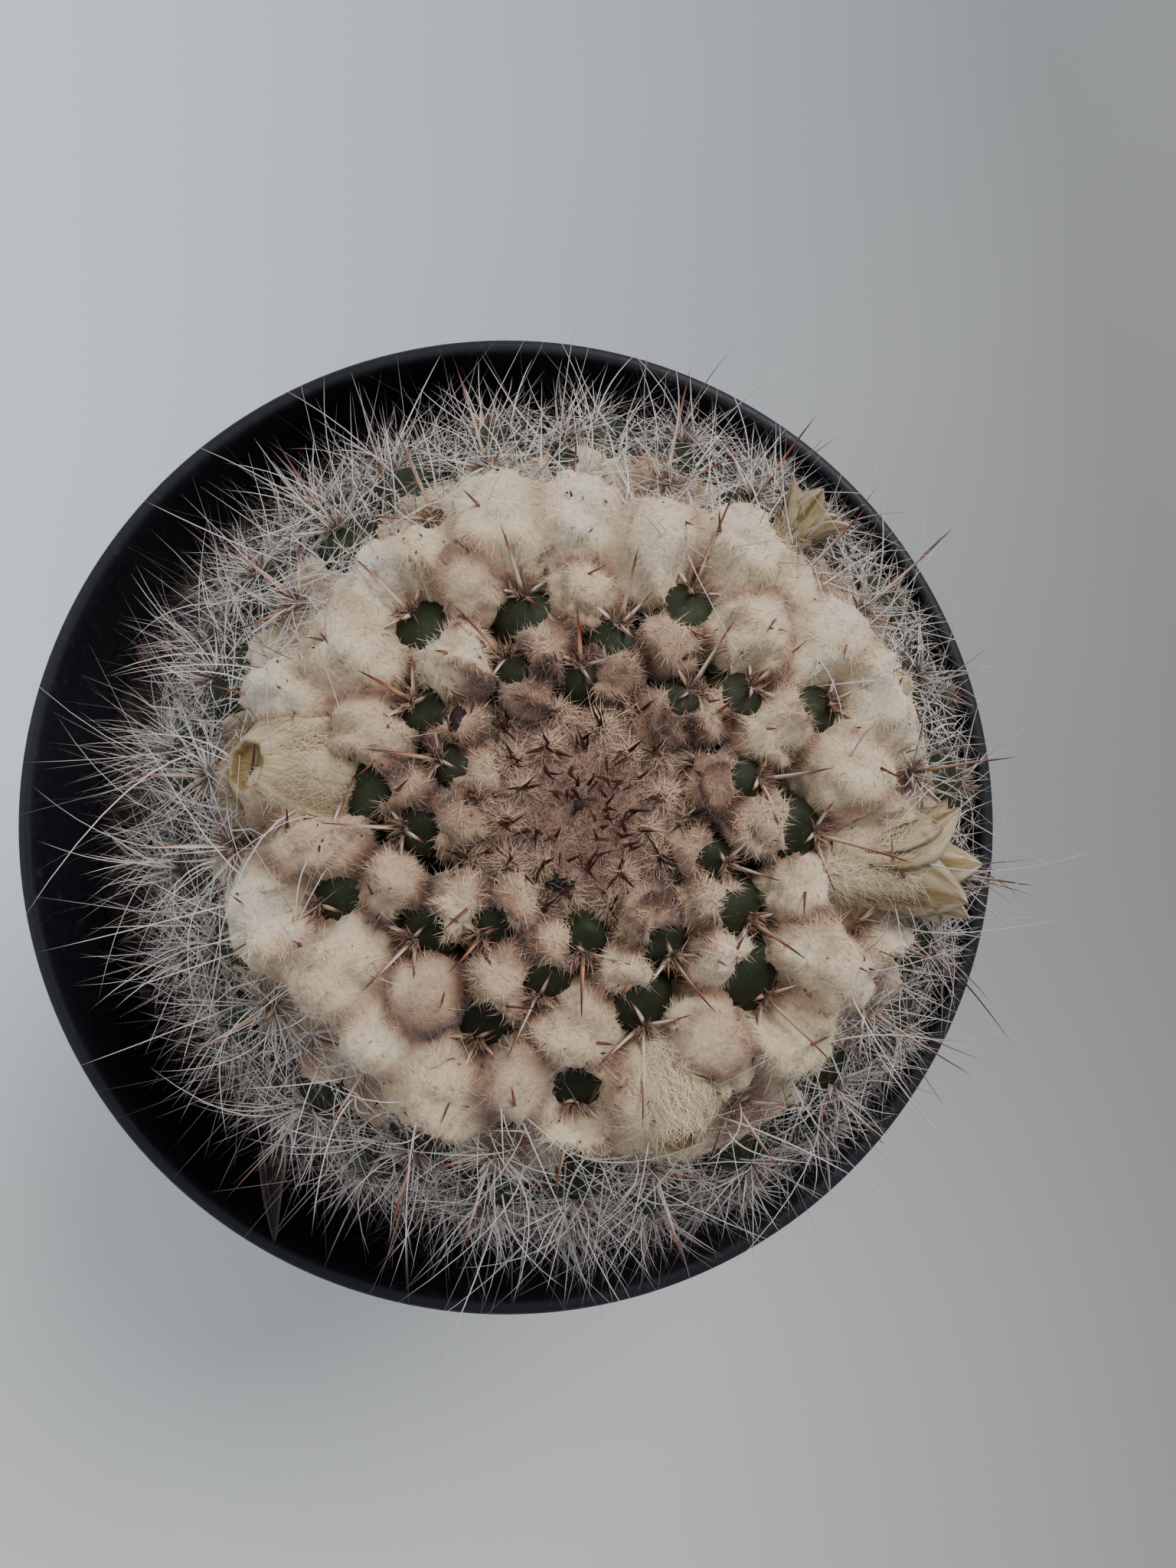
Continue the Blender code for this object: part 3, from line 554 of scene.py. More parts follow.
def makeSoil(finish):
    # rings from the wall in to the stem, a skirt down the wall, one down the hole, and a floor between them
    rings, sides = soil["rings"], soil["sides"]
    turn = circle(sides)
    hub, bottom = np.append(stemFoot[:2], 0), np.array([0, 0, soil["top"] - soil["depth"]])
    edge = np.stack([np.cos(turn), np.sin(turn), 0 * turn], -1)
    wall = edge * (innerRadius(soil["top"]) - soil["gap"])
    hole = edge * soil["hole"] + hub
    share = np.linspace(0, 1, rings)[:, None, None] ** 0.8
    top = wall * (1 - share) + hole * share
    top[..., 2] = soilHeight(top)
    foot = edge * soil["footRadius"] + [0, 0, soil["foot"]]
    skirt = edge * (innerRadius(soil["skirt"]) - soil["gap"]) + [0, 0, soil["skirt"]]
    points = np.concatenate([[foot, skirt], top, (hole + bottom)[None]])
    rows, last = len(points), len(points) * sides
    points = np.concatenate([points.reshape(-1, 3), [[0, 0, soil["foot"]], hub + bottom]])
    under, inner = fanFaces(last, 0, sides, turned=True), fanFaces(last + 1, last - sides, sides)
    faces = [gridFaces(rows, sides), under, inner]
    addPiece("pottingSoil", (points, faces), finish, replaced=["soil"])


def makeSoilBits():
    # crumbs of bark and grit: cubes whose corners are pushed about, squashed flat and pressed into the bed
    draw = np.random.default_rng(17)
    count = soil["bits"]
    cube = np.array([(x, y, z) for z in (-1, 1) for y in (-1, 1) for x in (-1, 1)], float)
    faces = np.array([(0, 2, 3, 1), (4, 5, 7, 6), (0, 1, 5, 4), (1, 3, 7, 5), (3, 2, 6, 7), (2, 0, 4, 6)])
    turn = draw.uniform(0, fullTurn, count)
    radius = np.sqrt(draw.uniform(0.12, 1, count)) * (innerRadius(soil["top"]) - soil["bitInset"])
    place = np.stack([radius * np.cos(turn), radius * np.sin(turn), 0 * turn], -1)
    place[:, 2] = soilHeight(place)
    size = draw.uniform(0.3, 1.0, count) ** 1.8 * soil["bitSpan"] + soil["bitLeast"]
    shape = unit(cube + draw.normal(0, 0.25, (count, 8, 3))) * size[:, None, None]
    shape = shape * draw.uniform(0.5, 1.3, (count, 1, 3))
    spin = draw.uniform(0, fullTurn, count)[:, None]
    x, y, z = (shape[..., i] for i in range(3))
    turned = [x * np.cos(spin) - y * np.sin(spin), x * np.sin(spin) + y * np.cos(spin), z * soil["bitFlat"]]
    points = place[:, None] + np.stack(turned, -1)
    finish, tree, shader = newFinish("barkAndGrit", 0.85, Specular_IOR_Level=0.3)
    patch = noise(tree, 210, 2)
    colourWith(tree, shader, ramp(tree, patch, [
        (0.30, (0.010, 0.007, 0.006)), (0.48, (0.035, 0.018, 0.012)), (0.62, (0.075, 0.033, 0.020)),
        (0.74, (0.10, 0.075, 0.055)),
    ]))
    roughen(tree, shader, noise(tree, 1200, 4), 0.7, 0.2)
    start = (np.arange(count) * 8)[:, None, None]
    addPiece("soilBits", (points, [(faces[None] + start).reshape(-1, 4)]), finish, smooth=False)


makeSoil(darkPeat())
makeSoilBits()


# Stem: the core and its smooth green tubercles

flesh = {
    "sides": 16, "domeRows": 9, "coreRows": 40, "coreSides": 96, "shoulder": 0.86, "shoulderDepth": 0.62,
    "tipShift": 0.22, "domeRise": 0.25, "keel": 0.05, "domePower": 2.4, "areoleOut": 0.42, "areoleLean": 0.4,
    "coveredPairs": (14, 22), "coveredDepth": 1.6, "lumpSize": 2.6, "lumpHeight": 0.09,
}


def tubercleRings():
    # Rings up each tubercle: two down its flank, then a superellipse dome over the shoulder that closes at a
    # point.
    t = tubercles
    lift = np.linspace(0, np.pi / 2, flesh["domeRows"])
    power = 2 / flesh["domePower"]
    base, length = t["base"][:, None], t["length"][:, None]
    depth = base * flesh["shoulderDepth"]
    domeUp = -depth + (depth + flesh["domeRise"]) * np.sin(lift) ** power
    domeOut = base * flesh["shoulder"] * np.maximum(np.cos(lift), 0.02) ** power
    up = np.concatenate([-length, -(length + depth) / 2, domeUp], 1)
    out = np.concatenate([base, base * 0.95, domeOut], 1)
    shift = base * flesh["tipShift"] * smoothStep(up, -length, flesh["domeRise"])
    around = circle(flesh["sides"])
    keel = 1 + flesh["keel"] * np.cos(4 * around)
    centre = t["tip"][:, None] + t["way"][:, None] * up[..., None] + t["outer"][:, None] * shift[..., None]
    spoke = t["outer"][:, None] * np.cos(around)[:, None] + t["side"][:, None] * np.sin(around)[:, None]
    return centre[:, :, None] + spoke[:, None] * (out[..., None] * keel)[..., None]


def areolePlaces():
    # the areole sits on the dome's outer side, and faces a little down the slope
    t = tubercles
    out = flesh["areoleOut"]
    drop = (1 - (out / flesh["shoulder"]) ** flesh["domePower"]) ** (1 / flesh["domePower"])
    depth = t["base"] * flesh["shoulderDepth"]
    up = -depth + (depth + flesh["domeRise"]) * drop
    place = t["tip"] + t["outer"] * (t["base"] * (flesh["tipShift"] + out))[:, None] + t["way"] * up[:, None]
    return place, unit(t["way"] + t["outer"] * flesh["areoleLean"])


def greenSkin():
    finish, tree, shader = newFinish("greenSkin", 0.6, Specular_IOR_Level=0.2)
    broad, fine = noise(tree, 260, 3), noise(tree, 3800, 2)
    green = ramp(tree, broad, [
        (0.3, (0.009, 0.011, 0.003)), (0.55, (0.017, 0.021, 0.007)), (0.78, (0.035, 0.040, 0.015)),
    ])
    dots = ramp(tree, fine, [(0.62, 0.0), (0.74, (0.022, 0.028, 0.018))])
    skin = mixed(tree, 1.0, green, dots, "ADD")
    brown = ramp(tree, markOf(tree, "nearAreole"), [(0.0, 0.0), (1.0, 1.0)])
    colourWith(tree, shader, mixed(tree, brown, skin, (0.035, 0.022, 0.014)))
    roughen(tree, shader, fine, 0.25, 0.06)
    return finish


def makeStem():
    # the tubercles and the core on its neck, as loose closed solids
    rings = tubercleRings()
    first, last = flesh["coveredPairs"]
    covered = hiddenTip | (tubercles["pair"] >= first) & (tubercles["pair"] <= last)  # by the ring of wool
    rings = rings - (tubercles["way"] * (flesh["coveredDepth"] * covered)[:, None])[:, None, None]
    count, rows, sides = rings.shape[:3]
    points = rings.reshape(-1, 3)
    lumps = ripples(points, flesh["lumpSize"], 3) * flesh["lumpHeight"]
    points = points + unit(points - stemFoot) * lumps[:, None]
    gap = np.linalg.norm(rings - areolePlace[:, None, None], axis=-1)
    marks = 1 - smoothStep(gap, 0.5, 1.3)
    coreSides = flesh["coreSides"]
    turn = circle(coreSides)
    arcs = np.linspace(coreDome[2][-1], 0.4, flesh["coreRows"])
    neck = [inStem(growth[part + "Radius"], turn, growth[part + "Foot"]) for part in ("root", "neck")]
    core = np.concatenate([neck, onDome(coreDome, arcs[:, None], turn)])
    coreFaces = [f + len(points) for f in (gridFaces(len(core), coreSides), lidFaces(len(core), coreSides))]
    points = np.concatenate([points, core.reshape(-1, 3)])
    marks = np.append(marks.ravel(), np.zeros(core.size // 3))
    faces = [gridFaces(rows, sides, count), lidFaces(rows, sides, count), *coreFaces]
    addPiece("stemFlesh", (points, faces), greenSkin(), marks={"nearAreole": marks},
             replaced=["stem"])


areolePlace, areoleWay = areolePlaces()
makeStem()


# Wool: a ball in the axil inward of each tubercle from the second pair out, on a bed that fills between them.
# The balls and the bed are joined into one skin, which the hairs then stand on.

wool = {
    "firstPair": 1, "lastPair": 29, "fullPair": 20, "lastFull": 25, "outerPair": 25.3, "share": 0.825,
    "small": 1.9, "full": 4.75, "power": 1.2, "sunk": 0.28, "sunkYoung": 0.52, "shrink": 0.09, "swell": 1.04,
    "sizeWaves": 0.12, "radiusWaves": 0.018, "turnWaves": 0.03, "pulledFrom": 23, "pulledIn": 2.4,
    "bedRows": 14, "bedSides": 144, "bedInner": 8.6, "bedOuter": 31.0, "bedUnder": -6.4,
    "bedOver": (-5.4, -0.5), "ballRows": 15, "ballSides": 24, "voxel": 0.5, "softening": 13,
    "barePairs": 15, "bareDepth": 0.75, "bareShare": 0.44, "bareSlope": 1.5, "bareOut": 0.26,
    "bareLong": 1.25,
    "hairsPerArea": 17.0, "hairWidth": 0.055, "hairLength": 1.55, "specks": 230,
    # the crease figure is painted shade: how much darker the wool is drawn in its creases and on the bed
    # between balls
    "paintedCreaseShade": 0.34, "areoleShade": 0.30, "tintWaves": 0.07, "mostTint": 0.80,
    "paleTufts": [(-0.4, 14.0), (18.7, -8.0)], "paleTint": 0.68,
}
# each ball's tint by its pair, from the crown out
pairTints = [(0, 0.31), (4, 0.40), (8, 0.45), (12, 0.48), (15, 0.56), (20, 0.62), (24, 0.71), (27, 0.84),
             (29, 0.92)]

# from 0 for pink brown, over cream and yellow, to 1 for white
woolTints = [
    (0.00, (0.060, 0.028, 0.018)), (0.16, (0.200, 0.105, 0.070)), (0.34, (0.370, 0.225, 0.145)),
    (0.47, (0.530, 0.375, 0.250)), (0.60, (0.655, 0.500, 0.330)), (0.72, (0.690, 0.555, 0.385)),
    (0.85, (0.690, 0.585, 0.490)), (1.00, (0.735, 0.645, 0.580)),
]


def woolBalls():
    pair, arm = inPairs(np.arange(wool["firstPair"], wool["lastPair"] + 1))
    radius = np.interp(tipArc(np.minimum(pair, wool["outerPair"])), tipDome[2], tipDome[0]) * wool["share"]
    radius = radius * (1 + wool["radiusWaves"] * np.sin(pair * 5.1 + arm * 1.7))
    turn = pairTurn(pair, arm) + wool["turnWaves"] * np.sin(pair * 3.7 + arm)
    # the ring is a little narrower along Y
    radius = radius - wool["pulledIn"] * (pair > wool["pulledFrom"]) * np.sin(turn) ** 2
    arc = arcAt(tipDome, radius)
    growing = np.minimum(1, pair / wool["fullPair"]) ** wool["power"]
    size = wool["small"] + (wool["full"] - wool["small"]) * growing
    size = size * (1 - wool["shrink"] * np.maximum(0, pair - wool["lastFull"]))
    size = size * (1 + wool["sizeWaves"] * np.sin(pair * 9.3 + arm * 2.6))
    size = size * np.interp(pair, [3, 6, 13, 17], [1.0, 0.91, 0.91, 1.0])
    sunk = np.interp(pair, [2, wool["fullPair"]], [wool["sunkYoung"], wool["sunk"]])
    centre = onDome(tipDome, arc, turn, -sunk * size)
    return pair, centre, size * wool["swell"], leanWay(turn, leanAt(tipDome, arc))


def ballTints():
    # by pair with a wave, and two young tufts that are nearly white
    tint = np.interp(ballPair, *np.array(pairTints).T)
    tint = tint + 0.11 * np.sin(ballPair * 7.3 + np.tile([0.0, 2.0], len(ballPair) // 2))
    tint = np.minimum(tint, wool["mostTint"])
    away = np.linalg.norm(ballCentre[:, None, :2] - wool["paleTufts"], axis=-1)
    tint[away.argmin(0)] = wool["paleTint"]
    return tint


ballPair, ballCentre, ballSize, ballWay = woolBalls()
ballTint = ballTints()


def nearBalls(points):
    # for each point: its ball, its tint as a mean weighted by nearness, and how far into a crease or onto the
    # bed between balls it lies, which sets the painted shade there
    away = np.linalg.norm(points[:, None] - ballCentre, axis=-1) - ballSize
    weight = np.exp(-away / 0.7)
    tint = (weight * ballTint).sum(1) / np.maximum(weight.sum(1), 1e-12)
    first = away.argmin(1)
    two = np.partition(away, 1, axis=1)[:, :2]
    # painted shade: darker down the valley between two balls, and on the bed away from the young balls
    valley = np.interp(ballPair[first], [3, 7, 14, 20], [0.5, 1.45, 1.2, 0.75])
    valley = valley * (1 - smoothStep(two[:, 1] - two[:, 0], 0.0, 2.2))
    bed = np.interp(ballPair[first], [13, 18], [1.7, 0.2]) * smoothStep(two[:, 0], 0.2, 1.3)
    return first, tint - wool["areoleShade"] * nearAreoles(points), np.clip(valley + bed, 0, 1.7)


def nearAreoles(points):
    # 1 at a young areole, falling to 0 at 2.4 mm from it: the wool there is brown
    young = areolePlace[tubercles["pair"] < 18]
    return 1 - smoothStep(np.linalg.norm(points[:, None] - young, axis=-1).min(1), 0.8, 2.4)


# where each withered flower grows, from its root to its end, and the share of its length that wool covers
flowers = {
    # light scales a flower's tepal colour up: painted light, strongest on flower_1, whose tepals its
    # neighbours shade
    "flower_1": {"root": (24.0, 23.4, 121.2), "end": (28.6, 28.3, 121.8), "widest": 2.2, "spread": 1.75,
                 "tepals": 5, "light": 1.36, "until": 0.45, "tint": 0.75, "hairs": 1500},
    "flower_2": {"root": (27.0, -2.5, 124.2), "end": (39.4, -1.8, 121.8), "widest": 4.4, "spread": 1.2,
                 "tepals": 10, "light": 1.10, "until": 0.62, "tint": 0.66, "hairs": 6500},
    "flower_3": {"root": (-10.2, 4.8, 121.0), "end": (-16.8, 6.2, 129.8), "widest": 5.7, "tepals": 0,
                 "until": 0.86, "tint": 0.56, "hairs": 8500},
    "flower_4": {"root": (13.8, -16.2, 122.0), "end": (16.1, -22.6, 128.4), "widest": 5.3, "tepals": 0,
                 "until": 0.95, "tint": 0.82, "hairs": 7500},
    "flower_5": {"root": (30.8, 11.4, 121.2), "end": (35.4, 13.3, 122.6), "widest": 1.8, "tepals": 0,
                 "until": 0.80, "tint": 0.75, "hairs": 1500},
}


def pressed(points, off, way, limit, near):
    # points near enough whose height along the way is over the limit come down to it
    return points - way * (np.maximum(off @ way - limit, 0) * near)[:, None]


def flowerDip(points):
    # presses the wool down under each flower, to the level of the flower's axis, with soft slopes beside it
    for one in flowers.values():
        root, end = np.array(one["root"]), np.array(one["end"])
        line = end - root
        share = np.clip((points - root) @ line / (line @ line), 0.3, 1.0)[:, None]
        off = points - (root + line * share)
        way = unit((root + end) / 2 - stemFoot - stemUp * 25)
        up = off @ way
        away = np.linalg.norm(off - up[:, None] * way, axis=1) - one["widest"]
        limit = -0.6 + 1.4 * np.maximum(away, 0) + 0.4 * np.maximum(away, 0) ** 2
        points = pressed(points, off, way, limit, (away < 3.5) & (up < 9.0) & (up > -2.0))
    return points


def bareDip(points):
    # lowers what stands over the green tip and areole of a young tubercle into a dip with soft sloping sides
    t = tubercles
    for one in np.flatnonzero((t["pair"] < wool["barePairs"]) & ~hiddenTip):
        way, base = t["way"][one], t["base"][one]
        share = wool["bareShare"] * np.interp(t["pair"][one], [11, 14], [1.0, 0.55])
        share = share * (1 + 0.14 * np.sin(one * 4.4))
        off = points - (t["tip"][one] + t["outer"][one] * base * wool["bareOut"])
        up = off @ way
        flat = off - up[:, None] * way
        along, across = flat @ t["outer"][one], flat @ t["side"][one]
        away = np.hypot(along / wool["bareLong"], across) - base * share + 0.28 * ripples(points, 1.3, one)
        limit = -wool["bareDepth"] + wool["bareSlope"] * np.maximum(away, 0) + 0.5 * np.maximum(away, 0) ** 2
        points = pressed(points, off, way, limit, (away < 4.0) & (up < 6.0) & (up > -3.0))
    return points


def woolBed():
    # the band between the tubercles under their tips: its outline goes out under and comes back over
    rows, sides = wool["bedRows"], wool["bedSides"]
    arcs = np.linspace(arcAt(tipDome, wool["bedInner"]), arcAt(tipDome, wool["bedOuter"]), rows)[:, None]
    over = np.linspace(*wool["bedOver"], rows)[::-1, None]
    under = onDome(tipDome, arcs, circle(sides), wool["bedUnder"])
    band = np.concatenate([under, onDome(tipDome, arcs[::-1], circle(sides), over)])
    faces = gridFaces(len(band) + 1, sides) % (len(band) * sides)
    return band.reshape(-1, 3), faces


def ballWays(rows, sides, gap=0.0):
    # unit directions on rings from a ball's lower pole to its upper one
    fall, turn = np.linspace(gap, np.pi - gap, rows)[:, None], circle(sides)
    across = np.sin(fall)
    return np.stack(np.broadcast_arrays(across * np.cos(turn), across * np.sin(turn), -np.cos(fall)), -1)


def woolSkin():
    # the balls and the bed as one closed mesh: the outermost surface of them all, with its creases smoothed
    rows, sides = wool["ballRows"], wool["ballSides"]
    balls = ballCentre[:, None] + ballWays(rows, sides).reshape(-1, 3) * ballSize[:, None, None]
    bed, bedFaces = woolBed()
    points = np.concatenate([balls.reshape(-1, 3), bed])
    faces = gridFaces(rows, sides, len(ballSize)).tolist() + (bedFaces + balls.size // 3).tolist()
    mesh = bpy.data.meshes.new("woolRough")
    mesh.from_pydata(points.tolist(), [], faces)
    rough = newObject("woolRough", mesh)
    joined = rough.modifiers.new("Joined", "REMESH")
    joined.mode = "VOXEL"
    joined.voxel_size = wool["voxel"]
    soft = rough.modifiers.new("Soft", "SMOOTH")
    soft.factor = 0.5
    soft.iterations = wool["softening"]
    skin = evaluated(rough).to_mesh()
    skinPoints, skinFaces = np.zeros(len(skin.vertices) * 3), np.zeros(len(skin.loops), np.int32)
    skin.vertices.foreach_get("co", skinPoints)
    skin.loops.foreach_get("vertex_index", skinFaces)
    bpy.data.objects.remove(rough, do_unlink=True)
    return skinPoints.reshape(-1, 3), skinFaces.reshape(-1, 4)


def pointNormals(points, faces):
    # the mean of the normals of the four-sided faces round each point
    cross = np.cross(points[faces[:, 2]] - points[faces[:, 0]], points[faces[:, 3]] - points[faces[:, 1]])
    total = np.zeros_like(points)
    for corner in range(4):
        np.add.at(total, faces[:, corner], cross)
    return unit(total)


def strewn(points, normals, faces, perArea, draw):
    # even random places over four-sided faces, with the surface's normal at each
    a, b, c, d = (points[faces[:, i]] for i in range(4))
    area = np.linalg.norm(np.cross(c - a, d - b), axis=1) / 2
    each = np.floor(area * perArea + draw.uniform(0, 1, len(area))).astype(int)
    face = np.repeat(faces, each, 0)
    u, v = draw.uniform(0, 1, (2, len(face), 1))
    shares = [(1 - u) * (1 - v), u * (1 - v), u * v, (1 - u) * v]
    place = sum(points[face[:, i]] * shares[i] for i in range(4))
    return place, unit(sum(normals[face[:, i]] * shares[i] for i in range(4)))


def woolFelt():
    finish, tree, shader = newFinish("woolFelt", 0.95, Specular_IOR_Level=0.1, Sheen_Weight=0.25,
                                     Sheen_Roughness=0.6)
    streak = noise(tree, 2600, 4)
    # the tint mark holds the wool's colour with painted shade in its creases taken off
    tint = ramp(tree, markOf(tree, "tint"), woolTints)
    shade = ramp(tree, streak, [(0.25, 0.70), (0.75, 1.0)])
    colourWith(tree, shader, mixed(tree, 1.0, tint, shade, "MULTIPLY"))
    roughen(tree, shader, streak, 0.6, 0.25)
    return finish


def addHair(name, shape, finish, normals):
    # hairs of five points each take the shading of the surface they lie on, so they read as one soft mass
    piece = addPiece(name, shape, finish)
    piece.data.normals_split_custom_set_from_vertices(np.repeat(unit(normals), 5, 0).tolist())


def makeWool():
    points, faces = woolSkin()
    normals = pointNormals(points, faces)
    points = points + normals * (0.5 * ripples(points, 8.0, 7) + 0.5 * ripples(points, 3.6, 8))[:, None]
    young = 1 - smoothStep(ballPair[nearBalls(points)[0]], 11, 18)
    lumps = 0.26 * ripples(points, 1.4, 9) + 0.55 * young * ripples(points, 2.4, 10)
    points = flowerDip(bareDip(points + normals * lumps[:, None]))
    normals = pointNormals(points, faces)
    _, tint, crease = nearBalls(points)
    # painted shade: the felt is drawn darker in the creases and on the bed between balls
    tints = tint + wool["tintWaves"] * ripples(points, 5.0, 12) - wool["paintedCreaseShade"] * crease
    addPiece("woolCore", (points, [faces]), woolFelt(), marks={"tint": np.clip(tints, 0, 1)},
             replaced=["wool"])
    # painted shade along each hair: darker at its root, a little lighter at its tip
    hair = hairFinish("woolHair", 0.9, woolTints, [(0.0, 0.80), (0.35, 1.0), (1.0, 1.06)],
                      Specular_IOR_Level=0.15, Sheen_Weight=0.2, Sheen_Roughness=0.5)
    draw = np.random.default_rng(31)
    upward = unit(points - stemFoot - stemUp * 20)
    top = ((normals * upward).sum(1) > -0.1)[faces].all(1)
    roots, rootNormals = strewn(points, normals, faces[top], wool["hairsPerArea"], draw)
    half = np.arange(len(roots)) % 2 == 0
    for name, part in (("woolHairEven", half), ("woolHairOdd", ~half)):
        makeWoolHair(name, roots[part], rootNormals[part], hair, draw)
    makeSpecks(roots, rootNormals)
    return hair


def makeSpecks(places, normals):
    # tiny dark chips of soil and plant dust, strewn over the wool
    draw = np.random.default_rng(37)
    pick = draw.choice(len(places), wool["specks"], replace=False)
    ways = unit(draw.normal(0, 1, (len(pick), 3)) + normals[pick] * 0.4)
    finish = spineFinish("woolSpeck", 0.8, [(0.0, (0.075, 0.032, 0.020)), (1.0, (0.055, 0.024, 0.016))],
                         [(0.0, (0.016, 0.010, 0.009)), (1.0, (0.012, 0.009, 0.009))])
    count = len(pick)
    lengths, radii = draw.uniform(0.2, 0.75, count) ** 1.3, draw.uniform(0.05, 0.13, count)
    bends, tints = draw.normal(0, 0.2, (count, 3)), draw.uniform(0, 1, count)
    roots = places[pick] + normals[pick] * 0.22
    addPiece("woolSpecks", quills(roots, ways, lengths, radii, bends, tints, 2, 0.4), finish)


def makeWoolHair(name, roots, normals, finish, draw):
    ball, tint, crease = nearBalls(roots)
    count = len(roots)
    pole = ballWay[ball]
    fromTop = roots - (ballCentre[ball] + pole * (ballSize[ball] * 0.8)[:, None])
    comb = unit(fromTop - normals * dot(fromTop, normals) + draw.normal(0, 1.5, (count, 3)))
    curl = ripples(roots, 1.9, 33)[:, None] * np.cross(normals, comb)
    tufty = 1 - smoothStep(ballPair[ball], 7, 17)
    rising = draw.uniform(0.0, 0.14, count) + tufty * (0.34 + 0.65 * ripples(roots, 1.1, 34))
    ways = unit(comb - normals * dot(comb, normals) + curl * 0.8 + normals * rising[:, None])
    bends = normals * draw.uniform(-0.26, -0.02, (count, 1)) + draw.normal(0, 0.22, (count, 3))
    scale = np.clip(ballSize[ball] / wool["full"], 0.76, 1)
    lengths = wool["hairLength"] * scale * draw.uniform(0.5, 1.25, count)
    widths = wool["hairWidth"] * draw.uniform(0.6, 1.25, count) * (1 + 0.25 * tufty)
    tints = tint + wool["tintWaves"] * ripples(roots, 5.0, 12) + 0.04 * ripples(roots, 1.3, 15)
    # painted shade: hairs in the creases and between balls are drawn darker
    tints = tints + draw.normal(0, 0.03, count) - wool["paintedCreaseShade"] * crease
    tints = np.clip(tints + tufty * (0.07 + draw.normal(0, 0.11, count)), 0, 1)
    shape = wisps(roots - normals * 0.1, ways, normals, lengths, widths, bends, tints)
    addHair(name, shape, finish, normals + 0.18 * ways)


woolHairLook = makeWool()


# Crown: short brown felt over the growing point, small woolly tufts at its rim, and dark stubby spines

crown = {"radius": 9.6, "skirt": 3.0, "rise": 2.4, "rows": 34, "sides": 110, "hairs": 34000,
         "hairLength": 1.05, "hairWidth": 0.06, "hump": 0.85, "woollyFrom": -12, "spinesFrom": -36,
         "spines": 4}


def crownHeightAt(radius):
    return crownHeight + crown["rise"] * (1 - np.clip(radius / crown["radius"], 0, 1) ** 2.2)


def crownPlace(pair, arm):
    # the same spiral as the green tubercles', drawn in towards the apex
    radius = growth["firstRadius"] * growth["ratio"] ** pair
    return radius, np.radians(growth["firstTurn"] + growth["pairTurn"] * pair + 180.0 * arm)


def crownTuftPlaces():
    # the areoles at the crown's rim that carry starry tufts: radius, turn and size
    pair, arm = inPairs(np.arange(crown["woollyFrom"], 0))
    radius, turn = crownPlace(pair, arm)
    return radius * 1.02, turn, np.interp(pair, [crown["woollyFrom"], 0], [0.70, 1.45])


def crownMounds(radius, turn):
    # how much the tufts lift the crown's surface: one soft hump for each
    tuftRadius, tuftTurn, size = crownTuftPlaces()
    x, y = (radius * np.cos(turn))[..., None], (radius * np.sin(turn))[..., None]
    gap = np.hypot(x - tuftRadius * np.cos(tuftTurn), y - tuftRadius * np.sin(tuftTurn)) / size
    return (crown["hump"] * size * np.exp(-1.3 * gap**2)).max(-1)


def crownFelt():
    finish, tree, shader = newFinish("crownFelt", 0.95, Specular_IOR_Level=0.1, Sheen_Weight=0.2,
                                     Sheen_Roughness=0.6)
    colourWith(tree, shader, ramp(tree, noise(tree, 900, 4), [
        (0.3, (0.130, 0.070, 0.052)), (0.5, (0.24, 0.145, 0.110)), (0.72, (0.36, 0.235, 0.180)),
    ]))
    roughen(tree, shader, noise(tree, 2600, 3), 0.9, 0.3)
    return finish


def makeCrown():
    rows, sides = crown["rows"], crown["sides"]
    radius, turn = np.broadcast_arrays(np.linspace(crown["radius"], 0.15, rows)[:, None], circle(sides))
    cap = inStem(radius, turn, crownHeightAt(radius) + crownMounds(radius, turn))
    cap = cap + stemUp * (0.22 * ripples(cap, 1.6, 21))[..., None]
    skirt = inStem(crown["radius"], turn[0], np.full(sides, crownHeight - crown["skirt"]))[None]
    faces = [gridFaces(rows + 1, sides), lidFaces(rows + 1, sides)]
    addPiece("crownPad", (np.concatenate([skirt, cap]), faces), crownFelt(), replaced=["crown_felt"])


def youngAreoles():
    # the areoles inside the first green pair
    radius, turn = crownPlace(*inPairs(np.arange(crown["spinesFrom"], 0)))
    return radius, turn, inStem(radius, turn, crownHeightAt(radius))


